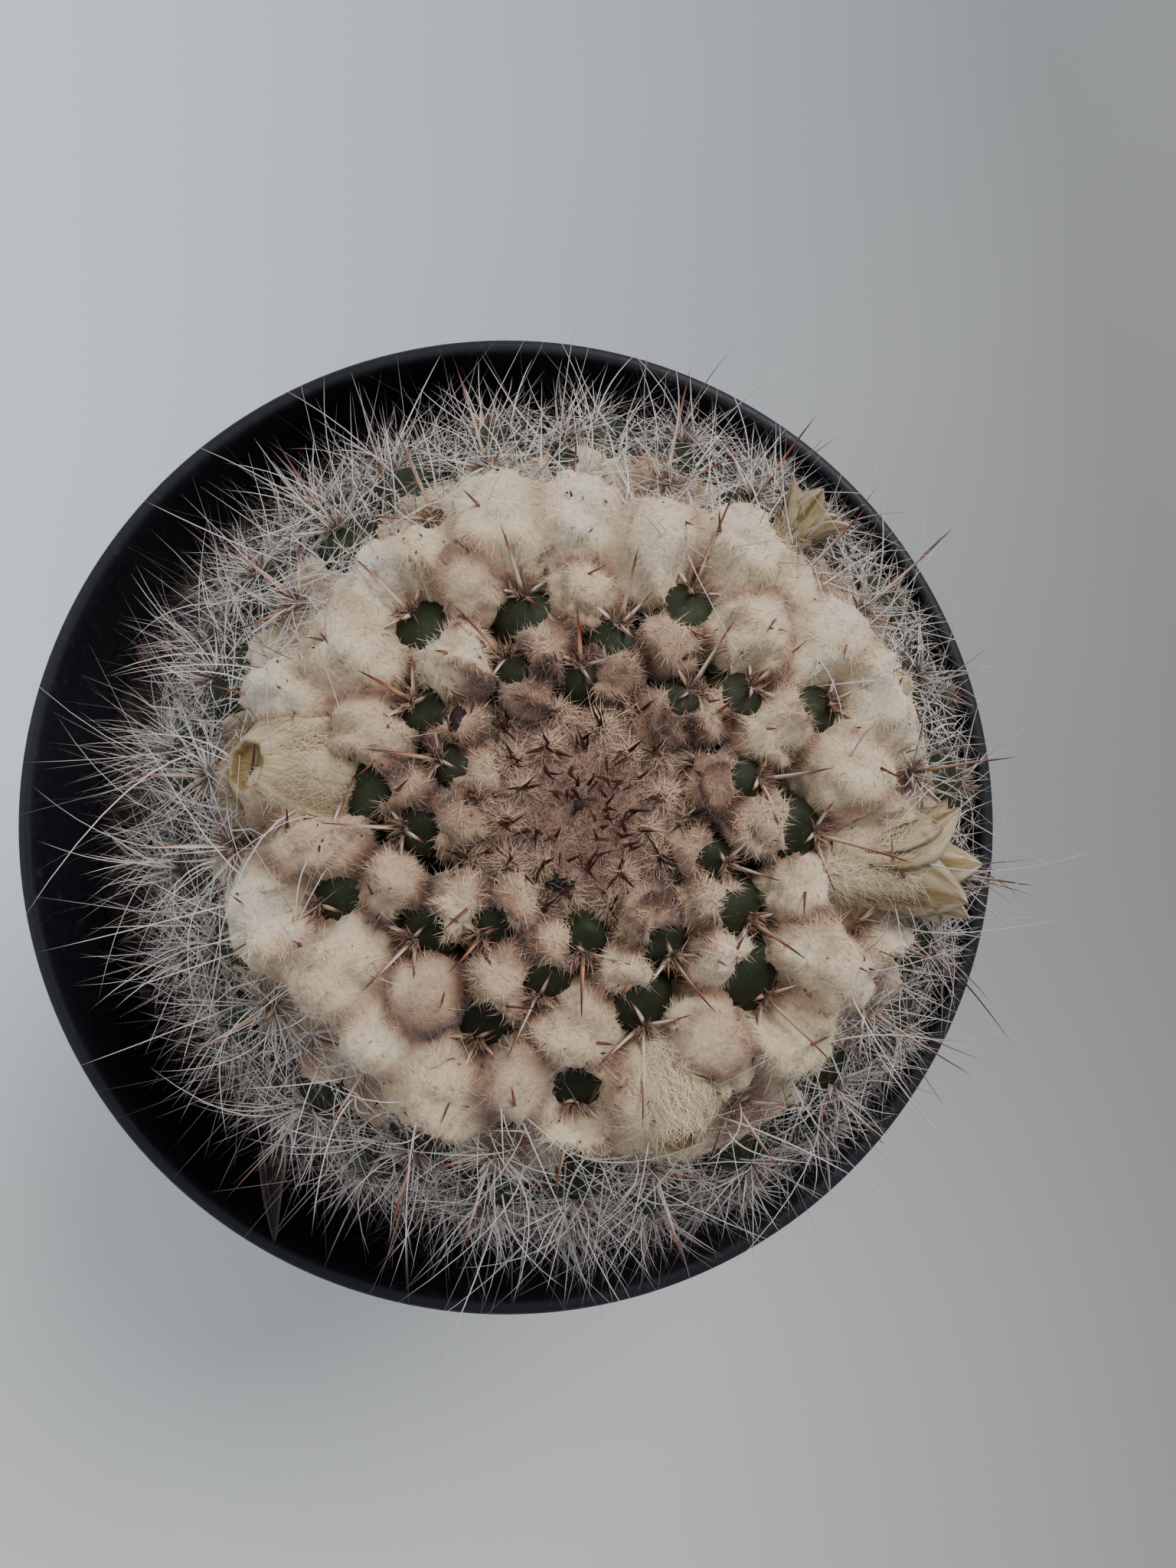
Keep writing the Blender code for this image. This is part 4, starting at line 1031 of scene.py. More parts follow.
def makeCrownHair():
    draw = np.random.default_rng(41)
    count = crown["hairs"]
    radius = np.sqrt((np.arange(count) + 0.5) / count) * (crown["radius"] + 0.6)
    turn = np.arange(count) * goldenTurn
    hump = crownMounds(radius, turn)
    roots = inStem(radius, turn, crownHeightAt(radius) + hump - 0.15)
    normals = leanWay(turn, 0.5 * (radius / crown["radius"]) ** 1.5)
    tuftRadius, tuftTurn, tuftSize = crownTuftPlaces()
    tuft = inStem(tuftRadius, tuftTurn, crownHeightAt(tuftRadius))
    gap = np.linalg.norm(roots[:, None] - tuft, axis=-1) / tuftSize
    nearest, gap = gap.argmin(1), gap.min(1)
    clump = 1 - smoothStep(gap, 0.5, 1.5)
    spread = unit(roots - tuft[nearest] + draw.normal(0, 0.4, (count, 3)))
    swirl = draw.normal(0, 1.0, (count, 3))
    ways = unit(normals * 0.5 + spread * 0.9 * clump[:, None] + swirl * (0.42 - 0.2 * clump[:, None]))
    bends = draw.normal(0, 0.45, (count, 3)) - normals * 0.15
    lengths = crown["hairLength"] * draw.uniform(0.5, 1.2, count) * (0.8 + 0.5 * clump)
    widths = crown["hairWidth"] * draw.uniform(0.6, 1.2, count)
    tints = 0.29 + 0.05 * smoothStep(radius, 5, 10) + 0.30 * clump + draw.normal(0, 0.10, count)
    finish = hairFinish("crownHairLook", 0.9, [
        (0.0, (0.12, 0.054, 0.038)), (0.25, (0.34, 0.192, 0.138)), (0.5, (0.56, 0.375, 0.260)),
        (0.75, (0.70, 0.53, 0.37)), (1.0, (0.75, 0.62, 0.49)),
    ], [(0.0, 0.80), (0.4, 1.0), (1.0, 1.06)], Specular_IOR_Level=0.15)
    shape = wisps(roots, ways, normals, lengths, widths, bends, np.clip(tints, 0, 1))
    addHair("crownHair", shape, finish, normals + 0.35 * ways)


def makeCrownSpines():
    draw = np.random.default_rng(43)
    radius, turn, place = youngAreoles()
    radius, turn, place = (np.repeat(x, crown["spines"], 0) for x in (radius, turn, place))
    keep = draw.uniform(0, 1, len(radius)) < np.interp(radius, [1, 3, 6, 9], [0.08, 0.34, 0.95, 1.0])
    radius, turn, place = radius[keep], turn[keep], place[keep]
    count = len(radius)
    around = turn + np.where(draw.uniform(0, 1, count) < 0.5, 0.0, np.pi) + draw.normal(0, 0.75, count)
    tilt = np.radians(draw.uniform(30, 70, count))
    ways = leanWay(around, tilt)
    roots = place + draw.normal(0, 0.30, (count, 3)) + stemUp * 0.75
    lengths = draw.uniform(1.2, 2.2, count) * np.interp(radius, [1, 5, 10], [0.75, 1.0, 1.3])
    radii = draw.uniform(0.16, 0.25, count)
    finish = spineFinish(
        "darkSpine", 0.6,
        [(0.0, (0.20, 0.085, 0.05)), (0.35, (0.075, 0.018, 0.012)), (1.0, (0.018, 0.006, 0.006))],
        [(0.0, (0.06, 0.022, 0.016)), (0.5, (0.018, 0.006, 0.006)), (1.0, (0.008, 0.004, 0.005))],
        Specular_IOR_Level=0.2)
    bends, tints = draw.normal(0, 0.05, (count, 3)), draw.uniform(0, 1, count)
    addPiece("crownSpines", quills(roots, ways, lengths, radii, bends, tints, 2, 0.7), finish)


makeCrown()
makeCrownHair()
makeCrownSpines()


# Areoles: a knot of brown wool on each tubercle, with its spines

spines = {
    "tuftHairs": 84, "tuftRadius": 1.0, "tuftLength": 1.15, "tuftWidth": 0.11,
    "youngLast": 24, "sideFirst": 19, "sideShare": 0.42, "sideReach": 52.5,
    "radialFirst": 17, "radials": 36, "radialLength": 5.4, "radialRadius": 0.085, "radialsThinned": 0.60,
    "bristleFirst": 17, "bristleLast": 44, "bristles": 6, "bristleLength": 10.0, "bristleRadius": 0.105,
    "hazeFirst": 18, "hazeHairs": 140, "hazeThinned": 0.7, "hazeReach": 44.0,
    "tipFirst": 6, "tipLast": 25, "tipShare": 0.66, "reach": 54.2, "top": 137.0,
}


def makeAreoles():
    draw = np.random.default_rng(51)
    each = spines["tuftHairs"]
    place, way = np.repeat(areolePlace, each, 0), np.repeat(areoleWay, each, 0)
    count = len(place)
    off = draw.normal(0, 1, (count, 3))
    off = off - way * dot(off, way)
    off = unit(off) * (draw.uniform(0, 1, (count, 1)) ** 0.5) * spines["tuftRadius"]
    normals = unit(way + off * 1.1)
    ways = unit(normals + draw.normal(0, 0.35, (count, 3)))
    lengths = spines["tuftLength"] * draw.uniform(0.5, 1.25, count)
    tints = np.clip(0.20 + draw.normal(0, 0.10, count), 0, 1)
    bends = draw.normal(0, 0.3, (count, 3))
    flat, widths = unit(np.cross(ways, off) + 0.01), np.full(count, spines["tuftWidth"])
    shape = wisps(place + off * 0.8 + way * 0.1, ways, flat, lengths, widths, bends, tints)
    addPiece("areoleTufts", shape, woolHairLook)


def aroundAreoles(chosen, each, draw, turns, tilts, jitter=0.2):
    # `each` spines on every chosen areole: their roots and their directions, turned from the downhill side
    t = tubercles
    pick = np.repeat(np.flatnonzero(chosen), each)
    count = len(pick)
    turn = np.tile(turns, count // each) + draw.normal(0, jitter, count)
    tilt = np.tile(tilts, count // each) + draw.normal(0, jitter * 0.45, count)
    way = areoleWay[pick]
    outer = unit(t["outer"][pick] - way * dot(t["outer"][pick], way))
    side = np.cross(way, outer)
    spoke = outer * np.cos(turn)[:, None] + side * np.sin(turn)[:, None]
    ways = way * np.cos(tilt)[:, None] + spoke * np.sin(tilt)[:, None]
    return pick, areolePlace[pick] + spoke * 0.3 - way * 0.15, ways


def withinPot(roots, ways, bends, lengths, reach=spines["reach"]):
    # shortens what would reach past the pot's lip, the soil or the top of the box
    for _ in range(6):
        end = roots + (ways + bends) * lengths[:, None]
        past = (np.hypot(end[:, 0], end[:, 1]) > reach) | (end[:, 2] > spines["top"])
        middle = roots + (ways * 0.7 + bends * 0.49) * lengths[:, None]
        for at in (end, middle):
            across = np.hypot(at[:, 0], at[:, 1])
            past |= (at[:, 2] < pot["height"] + 0.3) & (across > innerRadius(at[:, 2]) - 0.4)
            past |= at[:, 2] < soil["top"] + 0.8
        lengths = np.where(past, lengths * 0.84, lengths)
    return lengths


def makeYoungSpines():
    # four stout spines in a cross on each areole from the crown to the ring: ivory, with red-brown tips
    draw = np.random.default_rng(53)
    chosen = tubercles["pair"] <= spines["youngLast"]
    turns, tilts = np.radians([0, 90, 180, 270]), np.radians([16, 60, 72, 60])
    pick, roots, ways = aroundAreoles(chosen, 4, draw, turns, tilts, 0.28)
    count = len(pick)
    grown = np.clip(tubercles["pair"][pick] / 14, 0, 1)
    lengths = draw.uniform(3.6, 5.4, count) * (0.72 + 0.42 * grown)
    lengths = lengths * np.tile([1.6, 1.0, 0.85, 1.0], count // 4)
    bends = draw.normal(0, 0.05, (count, 3))
    radii = draw.uniform(0.20, 0.27, count)
    lengths = withinPot(roots, ways, bends, lengths)
    finish = spineFinish("ivorySpine", 0.4, [
        (0.0, (0.60, 0.50, 0.38)), (0.50, (0.68, 0.60, 0.50)), (0.66, (0.42, 0.17, 0.09)),
        (0.82, (0.09, 0.016, 0.012)),
    ], [
        (0.0, (0.46, 0.33, 0.21)), (0.30, (0.44, 0.20, 0.10)), (0.55, (0.20, 0.040, 0.024)),
        (0.8, (0.035, 0.010, 0.010)),
    ])
    dark = np.clip(draw.uniform(0, 1, count) ** 1.6 + np.tile([0.35, 0, 0, 0], count // 4), 0, 1)
    addPiece("youngSpines", quills(roots, ways, lengths, radii, bends, dark, 5, 0.62), finish)


def makeSideSpines():
    # long brown centrals on the sides, a few to each areole, that point out and a little up
    draw = np.random.default_rng(55)
    chosen = tubercles["pair"] >= spines["sideFirst"]
    pick, roots, ways = aroundAreoles(chosen, 2, draw, np.radians([0, 180]), np.radians([34, 30]), 0.5)
    keep = draw.uniform(0, 1, len(pick)) < spines["sideShare"]
    roots, ways = roots[keep], ways[keep]
    count = len(roots)
    lengths = draw.uniform(5.0, 11.0, count)
    bends = draw.normal(0, 0.14, (count, 3))
    lengths = withinPot(roots, ways, bends, lengths, spines["sideReach"])
    finish = spineFinish("brownSpine", 0.45, [
        (0.0, (0.28, 0.22, 0.18)), (0.55, (0.30, 0.22, 0.17)), (0.80, (0.22, 0.06, 0.04)),
        (1.0, (0.09, 0.025, 0.02)),
    ], [(0.0, (0.16, 0.11, 0.09)), (0.5, (0.12, 0.075, 0.06)), (1.0, (0.07, 0.035, 0.03))])
    radii, tints = draw.uniform(0.11, 0.17, count), draw.uniform(0, 1, count)
    addPiece("sideSpines", quills(roots, ways, lengths, radii, bends, tints, 4, 0.75), finish)


def paleTint(places, draw):
    # painted shade: spines low in the pot, where its wall shades them, are drawn darker than those by the
    # wool
    return np.clip(np.interp(places[:, 2], [84, 118], [0.14, 0.84]) + draw.normal(0, 0.15, len(places)), 0, 1)


def thinned(roots, share, draw):
    # fewer hairs where the plant comes close to the pot's wall, at its right and its far side, and low down
    close = np.maximum(smoothStep(roots[:, 0], 34.0, 46.0), smoothStep(roots[:, 1], 31.0, 43.0))
    low = 1 - smoothStep(roots[:, 2], 82.0, 98.0)
    return draw.uniform(0, 1, len(roots)) > share * np.maximum(close, 0.8 * low)


def arcsAside(ways, least, most, draw):
    # a bend square to each way, by a random share of its length, so that a hair curves and isn't only turned
    return unit(np.cross(ways, draw.normal(0, 1, ways.shape))) * draw.uniform(least, most, (len(ways), 1))


def makeRadials():
    # white hair-like radials in a wheel round each areole from the ring down the sides, bent every way
    draw = np.random.default_rng(57)
    chosen, each = tubercles["pair"] >= spines["radialFirst"], spines["radials"]
    tilts = np.radians(np.tile([90, 50, 74], each // 3))
    pick, roots, ways = aroundAreoles(chosen, each, draw, circle(each), tilts, 1.1)
    keep = thinned(roots, spines["radialsThinned"], draw)
    pick, roots, ways = pick[keep], roots[keep], ways[keep]
    count = len(pick)
    lengths = spines["radialLength"] * draw.uniform(0.5, 1.25, count)
    bends = areoleWay[pick] * draw.uniform(-0.25, 0.3, (count, 1)) + arcsAside(ways, 0.2, 1.1, draw)
    reach = np.where(draw.uniform(0, 1, count) < 0.03, spines["reach"], draw.uniform(41.0, 45.0, count))
    lengths = withinPot(roots, ways, bends, lengths, reach)
    # the dark foot of this palette carries the painted shade of spines low in the pot
    finish = hairFinish("whiteRadial", 0.6, [
        (0.0, (0.18, 0.145, 0.13)), (0.5, (0.44, 0.385, 0.355)), (1.0, (0.72, 0.655, 0.605)),
    ], [(0.0, 0.92), (1.0, 1.0)], Specular_IOR_Level=0.25)
    radii = spines["radialRadius"] * draw.uniform(0.7, 1.3, count)
    for name, first in (("radialSpinesEven", 0), ("radialSpinesOdd", 1)):
        part = [x[first::2] for x in (roots, ways, lengths, radii, bends)]
        addPiece(name, quills(*part, paleTint(part[0], draw), 5, 0.5), finish)
    return finish


def makeBristles(finish):
    # long thin curved bristles out of the axils round the ring and below it
    draw = np.random.default_rng(59)
    t = tubercles
    chosen = (t["pair"] >= spines["bristleFirst"]) & (t["pair"] <= spines["bristleLast"])
    pick = np.repeat(np.flatnonzero(chosen), spines["bristles"])
    count = len(pick)
    way, outer = t["way"][pick], t["outer"][pick]
    roots = t["tip"][pick] - outer * (t["base"][pick] * 1.25)[:, None] - way * 2.0
    roots = roots + draw.normal(0, 1.3, (count, 3))
    ways = unit(way + outer * draw.uniform(-0.2, 0.3, (count, 1)) + draw.normal(0, 0.6, (count, 3)))
    bends = arcsAside(ways, 0.35, 1.25, draw) - np.array([0, 0, 0.05])
    lengths = spines["bristleLength"] * draw.uniform(0.5, 1.3, count)
    reach = np.where(draw.uniform(0, 1, count) < 0.05, spines["reach"], draw.uniform(43.0, 49.5, count))
    lengths = withinPot(roots, ways, bends, lengths, reach)
    radii = spines["bristleRadius"] * draw.uniform(0.7, 1.15, count)
    shape = quills(roots, ways, lengths, radii, bends, paleTint(roots, draw), 7, 0.5)
    addPiece("axilBristles", shape, finish)


def makePokingTips():
    # the dark red tips of spines that the balls of wool have grown over, one or two to a ball
    draw = np.random.default_rng(65)
    chosen = (ballPair >= spines["tipFirst"]) & (ballPair <= spines["tipLast"])
    pick = np.repeat(np.flatnonzero(chosen), 2)
    pick = pick[draw.uniform(0, 1, len(pick)) < spines["tipShare"]]
    count = len(pick)
    out = unit(ballWay[pick] + draw.normal(0, 0.3, (count, 3)))
    roots = ballCentre[pick] + out * (ballSize[pick] * 0.92)[:, None]
    ways = unit(ballWay[pick] * draw.uniform(0.3, 0.8, (count, 1)) + draw.normal(0, 0.6, (count, 3)))
    finish = spineFinish(
        "redTip", 0.45, [(0.0, (0.40, 0.19, 0.10)), (0.45, (0.22, 0.05, 0.028)), (1.0, (0.03, 0.008, 0.008))],
        [(0.0, (0.20, 0.05, 0.03)), (0.5, (0.06, 0.012, 0.012)), (1.0, (0.012, 0.006, 0.007))])
    lengths, radii = draw.uniform(1.5, 3.0, count), draw.uniform(0.12, 0.19, count)
    bends, tints = draw.normal(0, 0.06, (count, 3)), draw.uniform(0, 1, count)
    addPiece("pokingTips", quills(roots, ways, lengths, radii, bends, tints, 3, 0.7), finish)


def makeHaze(finish):
    # fine pale hairs that lie every way between the tubercles of the sides, in the gaps under the radials
    draw = np.random.default_rng(63)
    t = tubercles
    pick = np.repeat(np.flatnonzero(t["pair"] >= spines["hazeFirst"]), spines["hazeHairs"])
    pick = pick[thinned(t["tip"][pick], spines["hazeThinned"], draw)]
    count, way = len(pick), t["way"][pick]
    turn = draw.uniform(0, fullTurn, count)
    spoke = t["outer"][pick] * np.cos(turn)[:, None] + t["side"][pick] * np.sin(turn)[:, None]
    reach = t["base"][pick] * draw.uniform(0.75, 1.25, count)
    roots = t["tip"][pick] + spoke * reach[:, None] + way * draw.uniform(-2.6, 0.5, (count, 1))
    ways = draw.normal(0, 1, (count, 3))
    ways = unit(ways - way * dot(ways, way) + way * draw.uniform(-0.1, 0.5, (count, 1)))
    bends = draw.normal(0, 0.55, (count, 3))
    lengths = withinPot(roots, ways, bends, draw.uniform(3.0, 7.5, count), spines["hazeReach"])
    normals = unit(way + draw.normal(0, 0.3, (count, 3)))
    widths = draw.uniform(0.09, 0.16, count)
    tints = np.clip(paleTint(roots, draw) - 0.08, 0, 1)
    addHair("sideHaze", wisps(roots, ways, normals, lengths, widths, bends, tints), finish, normals)


makeAreoles()
makeYoungSpines()
makeSideSpines()
radialLook = makeRadials()
makeBristles(radialLook)
makePokingTips()
makeHaze(radialLook)


# Withered flowers: two open ones with pointed tepals, and three closed tubes wrapped in combed wool. A tube's
# profile is in shares of its length and of its widest radius.

openTube = ((0.0, 0.02), (0.0, 0.45), (0.28, 0.60), (0.52, 0.76), (0.50, 0.62), (0.30, 0.30), (0.28, 0.02))
closedTube = ((0.0, 0.02), (0.0, 0.60), (0.2, 0.90), (0.5, 1.0), (0.78, 0.78), (0.94, 0.47), (0.99, 0.40),
              (1.0, 0.34), (0.98, 0.29), (0.94, 0.26), (0.92, 0.14), (0.92, 0.02))
bloom = {"tubeSides": 40, "tubeRound": 0.06, "tepalRows": 12, "tepalSides": 10, "tepalWidth": 0.74,
         "strandWidth": 0.055}


def flowerAxis(one):
    # the root, the way to the end, the length, and two directions across the way
    root, end = np.array(one["root"]), np.array(one["end"])
    way = unit(end - root)
    return root, way, np.linalg.norm(end - root), *aside(way)


def profileOf(one):
    return openTube if one["tepals"] else closedTube


def flowerTube(name, one, finish, seed):
    # the profile turned about the flower's axis, with soft pleats
    root, way, length, first, second = flowerAxis(one)
    rounded = roundedCorners(profileOf(one), bloom["tubeRound"], 3)
    rows, sides = len(rounded), bloom["tubeSides"]
    turn = circle(sides)
    spoke = first * np.cos(turn)[:, None] + second * np.sin(turn)[:, None]
    pleat = 1 + 0.045 * np.cos(7 * turn + seed) + 0.03 * np.cos(11 * turn + 2 * seed)
    across = rounded[:, 1, None] * one["widest"] * pleat
    points = root + way * (rounded[:, 0] * length)[:, None, None] + spoke * across[..., None]
    roundIt = 0.02 + 0.9 * np.abs(turn / np.pi - 1)
    uv = np.stack(np.broadcast_arrays(np.linspace(0.02, 0.98, rows)[:, None], roundIt), -1)
    faces = [gridFaces(rows, sides), lidFaces(rows, sides)]
    addPiece(name + "Tube", (points, faces, uv), finish, replaced=[name])


def flowerTepals(name, one, finish, seed):
    # Lancet blades round the tube's mouth. Each opens along a curve from the axis outwards, is widest a third
    # of the way along, comes to a point, and is cupped across, with waves that grow towards its tip.
    draw = np.random.default_rng(seed)
    root, way, length, first, second = flowerAxis(one)
    count, rows, sides = one["tepals"] * 2, bloom["tepalRows"], bloom["tepalSides"]
    turn = np.arange(count) * fullTurn * 2 / count * 0.985 + draw.normal(0, 0.10, count) + seed
    inner = (np.arange(count) >= count // 2) * 1.0
    out = first * np.cos(turn)[:, None] + second * np.sin(turn)[:, None]
    side = np.cross(way, out)
    s = np.linspace(0, 1, rows)[None, :, None]
    openness = (np.where(inner > 0, 0.45, 1.0) * draw.uniform(0.75, 1.1, count))[:, None, None]
    reach = (draw.uniform(0.86, 1.02, count) * np.where(inner > 0, 0.92, 1.0))[:, None, None]
    out, side = out[:, None], side[:, None]
    curl = draw.uniform(-0.5, 0.9, count)[:, None, None]
    along = 0.30 + (0.70 * reach) * s - 0.10 * openness * s**3 * np.maximum(curl, 0)
    spread = one["widest"] * (0.55 - 0.12 * inner[:, None, None] + (one["spread"] - 0.55) * openness * s**1.5)
    centre = root + way * (along * length) + out * spread
    narrowing = np.minimum(0.62 + 1.3 * s, 1.0) * np.minimum((1 - s) / 0.42, 1.0) ** 0.8
    width = bloom["tepalWidth"] * one["widest"] * narrowing * draw.uniform(0.85, 1.15, count)[:, None, None]
    forward = unit(np.gradient(centre, axis=1))
    upward = np.cross(side, forward)
    around = circle(sides)
    across = np.cos(around)
    wave = 0.16 * np.sin(9 * s + 5 * across[None, None] + turn[:, None, None]) * s
    cup = 0.30 * across**2 * width
    lift = 0.085 * np.sin(around) * (1 - 0.6 * s) + cup + wave * np.abs(across)
    blade = side[:, :, None] * (width * across)[..., None] - upward[:, :, None] * lift[..., None]
    u = np.broadcast_to(0.03 + 0.94 * s, (count, rows, sides))
    v = (np.arange(count)[:, None, None] + 0.5 + 0.42 * across) / count + 0 * u
    faces = [gridFaces(rows, sides, count), lidFaces(rows, sides, count)]
    addPiece(name + "Tepals", (centre[:, :, None] + blade, faces, np.stack([u, v], -1)), finish)


def paperyTepal(name, bands, light):
    # Along the map: olive at the base, paler to the tip, all brightened by a painted light factor. Across
    # each band of it: veins, a dark midrib and rusty spots.
    finish, tree, shader = newFinish(name, 0.72, Specular_IOR_Level=0.25, Sheen_Weight=0.15)
    place, along, up = mapParts(tree)
    scaled = addNode(tree, "ShaderNodeMath", {"operation": "MULTIPLY"})
    tree.links.new(up, scaled.inputs[0])
    scaled.inputs[1].default_value = float(bands)
    band = addNode(tree, "ShaderNodeMath", {"operation": "FRACT"})
    tree.links.new(scaled.outputs[0], band.inputs[0])
    base = ramp(tree, along, [
        (0.0, (0.28, 0.215, 0.110)), (0.35, (0.36, 0.285, 0.165)), (0.75, (0.42, 0.335, 0.215)),
        (1.0, (0.45, 0.365, 0.265)),
    ])
    # painted light: the tepals' colour is scaled brighter
    base = mixed(tree, 1.0, base, (light,) * 3, "MULTIPLY")
    rib = ramp(tree, band.outputs[0], [
        (0.08, 0.80), (0.30, 1.0), (0.47, (0.62, 0.56, 0.42)), (0.53, (0.62, 0.56, 0.42)), (0.70, 1.0),
        (0.92, 0.80),
    ])
    veins = noise(tree, 1.0, 3, stretched(tree, place, (2.0, 7.0 * bands, 1.0)))
    vein = ramp(tree, veins, [(0.36, (0.58, 0.50, 0.34)), (0.52, 1.0), (0.75, (1.12, 1.10, 1.06))])
    spots = noise(tree, 1.0, 2, stretched(tree, place, (5.0, 2.2 * bands, 1.0)))
    rust = ramp(tree, spots, [(0.58, 0.0), (0.74, 1.0)])
    colour = mixed(tree, 1.0, mixed(tree, 1.0, base, rib, "MULTIPLY"), vein, "MULTIPLY")
    colourWith(tree, shader, mixed(tree, rust, colour, (0.17, 0.075, 0.028)))
    roughen(tree, shader, veins, 0.5, 0.12)
    return finish


def driedTube():
    # olive yellow with streaks along it, and a brown rim round the sunken end
    finish, tree, shader = newFinish("driedTube", 0.75, Specular_IOR_Level=0.2, Sheen_Weight=0.15)
    place, along, _ = mapParts(tree)
    streak = noise(tree, 1.0, 4, stretched(tree, place, (2.5, 26.0, 1.0)))
    olive = ramp(tree, streak, [
        (0.3, (0.26, 0.20, 0.10)), (0.5, (0.42, 0.33, 0.19)), (0.7, (0.54, 0.44, 0.29)),
    ])
    rim = ramp(tree, along, [
        (0.60, 1.0), (0.68, (0.46, 0.33, 0.20)), (0.80, (0.44, 0.33, 0.20)), (0.90, (0.66, 0.60, 0.40)),
    ])
    colourWith(tree, shader, mixed(tree, 1.0, olive, rim, "MULTIPLY"))
    roughen(tree, shader, streak, 0.6, 0.2)
    return finish


def flowerWool(name, one, finish, seed):
    # wool combed along the tube from its root, parting before its end
    draw = np.random.default_rng(seed)
    root, way, length, first, second = flowerAxis(one)
    count = one["hairs"]
    turn, at = draw.uniform(0, fullTurn, count), draw.uniform(0.0, one["until"], count)
    profile = np.array(profileOf(one))
    outside = profile[1:profile[:, 0].argmax() + 1].T
    radius = np.interp(at, *outside) * one["widest"]
    out = first * np.cos(turn)[:, None] + second * np.sin(turn)[:, None]
    roots = root + way * (at * length)[:, None] + out * radius[:, None]
    swirl = np.cross(way, out) * draw.normal(0, 1.2, (count, 1))
    spots = np.linspace(0, 1, 60)
    slope = np.gradient(np.interp(spots, *outside)) * 59 * one["widest"] / length
    ways = way + out * np.interp(at, spots, slope)[:, None] + swirl
    ways = unit(ways + out * draw.uniform(0.05, 0.45, (count, 1)))
    lengths = draw.uniform(0.8, 2.1, count) * np.clip(one["widest"] / 3.0, 0.6, 1.1)
    bends = -out * draw.uniform(0.0, 0.30, (count, 1)) + draw.normal(0, 0.32, (count, 3))
    tints = draw.normal(one["tint"], 0.10, count) + 0.35 * np.abs(at - 0.45)
    tints = np.clip(tints + 0.13 * ripples(roots, 1.9, seed) + 0.05 * ripples(roots, 0.8, seed + 1), 0, 1)
    widths = np.full(count, bloom["strandWidth"])
    shape = wisps(roots - out * 0.1, ways, out, lengths, widths, bends, tints)
    addHair(name + "Wool", shape, finish, out + 0.2 * ways)


def makeFlowers():
    tube = driedTube()
    for seed, (name, one) in enumerate(flowers.items(), 1):
        flowerTube(name, one, tube, seed)
        if one["tepals"]:
            flowerTepals(name, one, paperyTepal(name + "Tepal", one["tepals"] * 2, one["light"]), seed)
    strands = hairFinish("flowerStrand", 0.85, [
        (0.0, (0.25, 0.17, 0.10)), (0.35, (0.44, 0.325, 0.20)), (0.65, (0.57, 0.44, 0.29)),
        (1.0, (0.68, 0.57, 0.43)),
    ], [(0.0, 0.92), (1.0, 1.0)], Specular_IOR_Level=0.15)
    for name, one in flowers.items():
        flowerWool(name, one, strands, len(name) + one["hairs"])


makeFlowers()


# Litter: a dark clump and a speck on the crown, a dried dark fruit between the tufts, and a papery scale by
# the wall

litter = {
    "clump": (7.0, -2.8, 130.4), "clumpSpread": (0.4125, 0.3, 0.15), "clumpBits": 34,
    "speck": (8.4, 3.2, 130.5), "speckRadii": (0.42, 0.42, 0.34),
    "fruit": (-0.7, 9.3, 129.7), "fruitRadii": (0.75, 1.5, 0.8),
    "scaleFoot": (-25.9, -35.0, 86.0), "scaleTip": (-24.9, -45.0, 90.6), "scaleWidth": 2.0,
    "scaleThick": 0.07, "scaleCup": 0.5, "scaleBow": 0.8,
}


def pebble(centre, radii, rows=9, sides=14):
    # a ball of rings from pole to pole, drawn out along each axis
    ways = ballWays(rows, sides, 0.04)
    points = np.array(centre) + ways * (1 + 0.12 * ripples(ways, 1.3, 3))[..., None] * np.array(radii)
    return points, [gridFaces(rows, sides), lidFaces(rows, sides)]


def mottled(name, roughness, gloss, scale, dark, light):
    finish, tree, shader = newFinish(name, roughness, Specular_IOR_Level=gloss)
    colourWith(tree, shader, ramp(tree, noise(tree, scale, 3), [(0.35, dark), (0.7, light)]))
    return finish


def makeLitter():
    draw = np.random.default_rng(61)
    dark = mottled("darkCrumb", 0.7, 0.3, 1800, (0.008, 0.006, 0.006), (0.035, 0.022, 0.017))
    maroon = mottled("driedFruit", 0.7, 0.25, 900, (0.012, 0.003, 0.006), (0.030, 0.009, 0.014))
    count = litter["clumpBits"]
    roots = np.array(litter["clump"]) + draw.normal(0, 1, (count, 3)) * litter["clumpSpread"]
    ways = unit(draw.normal(0, 1, (count, 3)) * [1, 1, 0.5])
    lengths, radii = draw.uniform(0.3, 1.0, count), draw.uniform(0.10, 0.26, count)
    bends, tints = draw.normal(0, 0.3, (count, 3)), draw.uniform(0, 1, count)
    addPiece("crownClump", quills(roots, ways, lengths, radii, bends, tints, 2, 0.5), dark)
    addPiece("crownSpeck", pebble(litter["speck"], litter["speckRadii"]), dark)
    addPiece("driedFruit", pebble(litter["fruit"], litter["fruitRadii"]), maroon)
    makeScale()


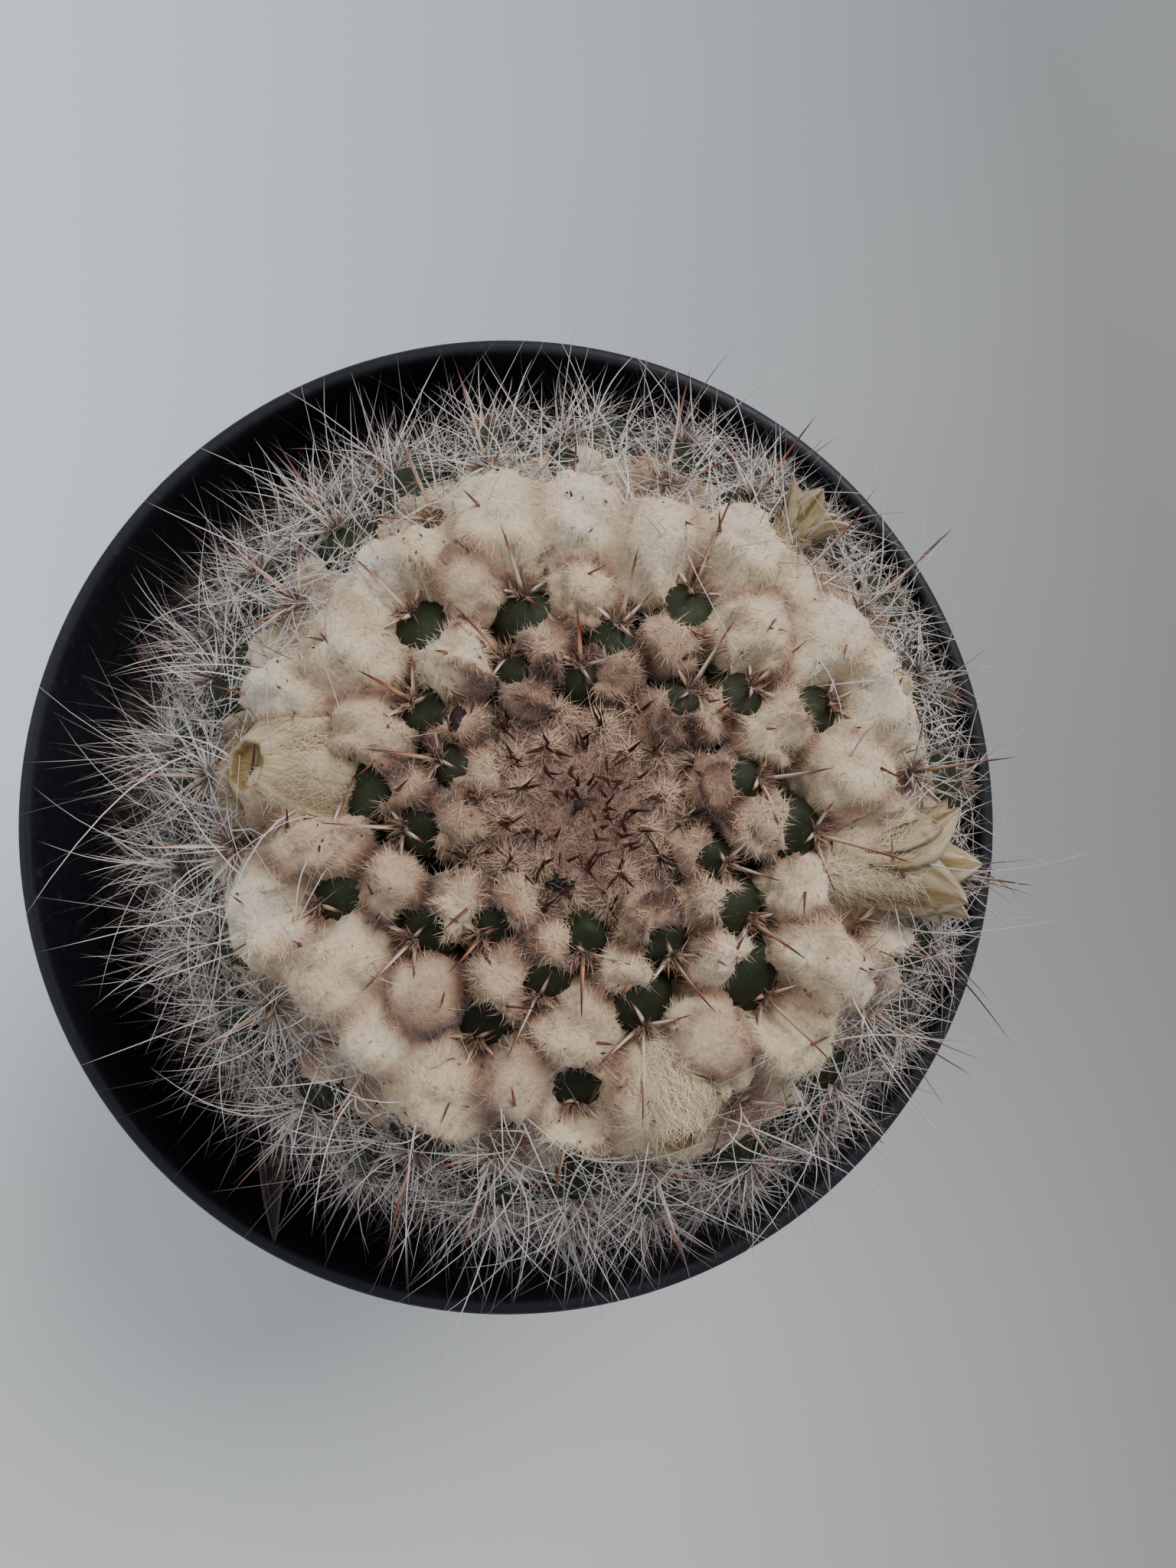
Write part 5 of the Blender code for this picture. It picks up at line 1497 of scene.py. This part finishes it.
def makeScale():
    # A dry scale: a thin blade, wide at its foot and drawn in to a point, cupped across and bowed along, with
    # pale edges.
    rows, sides = 16, 14
    foot, tip = np.array(litter["scaleFoot"]), np.array(litter["scaleTip"])
    across = unit(np.cross([0.0, 0.0, 1.0], unit(tip - foot)))
    upward = np.cross(unit(tip - foot), across)
    s, around = np.linspace(0.01, 0.99, rows)[:, None], circle(sides)
    width = litter["scaleWidth"] * (1 - s) ** 0.75 * np.minimum(1, 0.35 + 4 * s)
    lift = litter["scaleThick"] * np.sin(around) + litter["scaleCup"] * width * np.cos(around) ** 2
    lift = lift + litter["scaleBow"] * np.sin(np.pi * s)
    points = foot + (tip - foot) * s[..., None] + across * (width * np.cos(around))[..., None]
    points = points + upward * lift[..., None]
    finish, tree, shader = newFinish("dryScale", 0.75, Specular_IOR_Level=0.2)
    stops = [(0.55, (0.022, 0.015, 0.013)), (0.97, (0.11, 0.082, 0.066))]
    colourWith(tree, shader, ramp(tree, markOf(tree, "edge"), stops))
    edge = np.broadcast_to(np.abs(np.cos(around)), (rows, sides))
    faces = [gridFaces(rows, sides), lidFaces(rows, sides)]
    addPiece("paperyScale", (points, faces), finish, marks={"edge": edge})


makeLitter()


# Studio: a pale floor with painted light on it, soft daylight from above

studio = {
    # the two turns slant the floor's painted light: its fall from pale to dark, and its blue tinge
    "floorSize": 14000.0, "paintedFalloffTurn": -12.0, "paintedTingeTurn": -38.0,
    "skyColour": (0.86, 0.92, 1.0), "skyStrength": 0.48,
    "window": {"place": (0.62, 0.80, 0.95), "size": 0.8, "power": 19.0, "colour": (0.97, 0.98, 1.0)},
    "roomFill": {"place": (-0.9, 0.1, 0.9), "size": 1.0, "power": 4.0, "colour": (0.92, 0.96, 1.0)},
}


def addArea(name, one):
    # a round lamp, in metres, aimed at the middle of the pot's top
    lamp = bpy.data.lights.new(name, "AREA")
    lamp.shape = "DISK"
    lamp.size = one["size"]
    lamp.energy = one["power"]
    lamp.color = one["colour"]
    spot = np.array(one["place"])
    way = unit(spot - np.array([0.0, 0.0, 0.1]))
    right = unit(np.cross([0.0, 1.0, 0.0], way))
    turned = np.eye(4)
    turned[:3] = np.stack([right, np.cross(way, right), way, spot], 1)
    newObject(name, lamp).matrix_world = turned.T


def turnedPlace(tree, degrees, shift):
    # the floor's place, turned about Z and moved, in metres
    node = addNode(tree, "ShaderNodeMapping", Vector=objectPlace(tree), Location=shift)
    node.inputs["Rotation"].default_value = (0, 0, np.radians(degrees))
    return addNode(tree, "ShaderNodeSeparateXYZ", Vector=node.outputs[0])


def paleFloorPaintedLight():
    # painted light: the floor is drawn pale at the left, falling off darker to the right, with a painted blue
    # tinge of sky light towards the upper left
    finish, tree, shader = newFinish("paleFloorPaintedLight", 0.8, Specular_IOR_Level=0.2)
    across = turnedPlace(tree, studio["paintedFalloffTurn"], (0.5, 0, 0)).outputs["X"]
    paintedFalloff = ramp(tree, across, [
        (0.41, (0.72, 0.72, 0.71)), (0.50, (0.505, 0.505, 0.50)), (0.62, (0.240, 0.240, 0.230)),
    ])
    slant = turnedPlace(tree, studio["paintedTingeTurn"], (0.5, 0.5, 0)).outputs["Y"]
    paintedSkyTinge = ramp(tree, slant, [(0.50, (1.0, 1.0, 0.99)), (0.64, (0.95, 1.02, 1.13))])
    colourWith(tree, shader, mixed(tree, 1.0, paintedFalloff, paintedSkyTinge, "MULTIPLY"))
    return finish


def makeStudio():
    half = studio["floorSize"] / 2 * mm
    mesh = bpy.data.meshes.new("floor")
    corners = [(-half, -half, 0), (half, -half, 0), (half, half, 0), (-half, half, 0)]
    mesh.from_pydata(corners, [], [(0, 1, 2, 3)])
    mesh.materials.append(paleFloorPaintedLight())
    floor = newObject("floor", mesh)
    sky = bpy.data.worlds.new("softSky")
    sky.use_nodes = True
    light = sky.node_tree.nodes["Background"].inputs
    light["Color"].default_value = (*studio["skyColour"], 1)
    light["Strength"].default_value = studio["skyStrength"]
    bpy.context.scene.world = sky
    for name in ("window", "roomFill"):
        addArea(name, studio[name])


makeStudio()
print("studio lit")
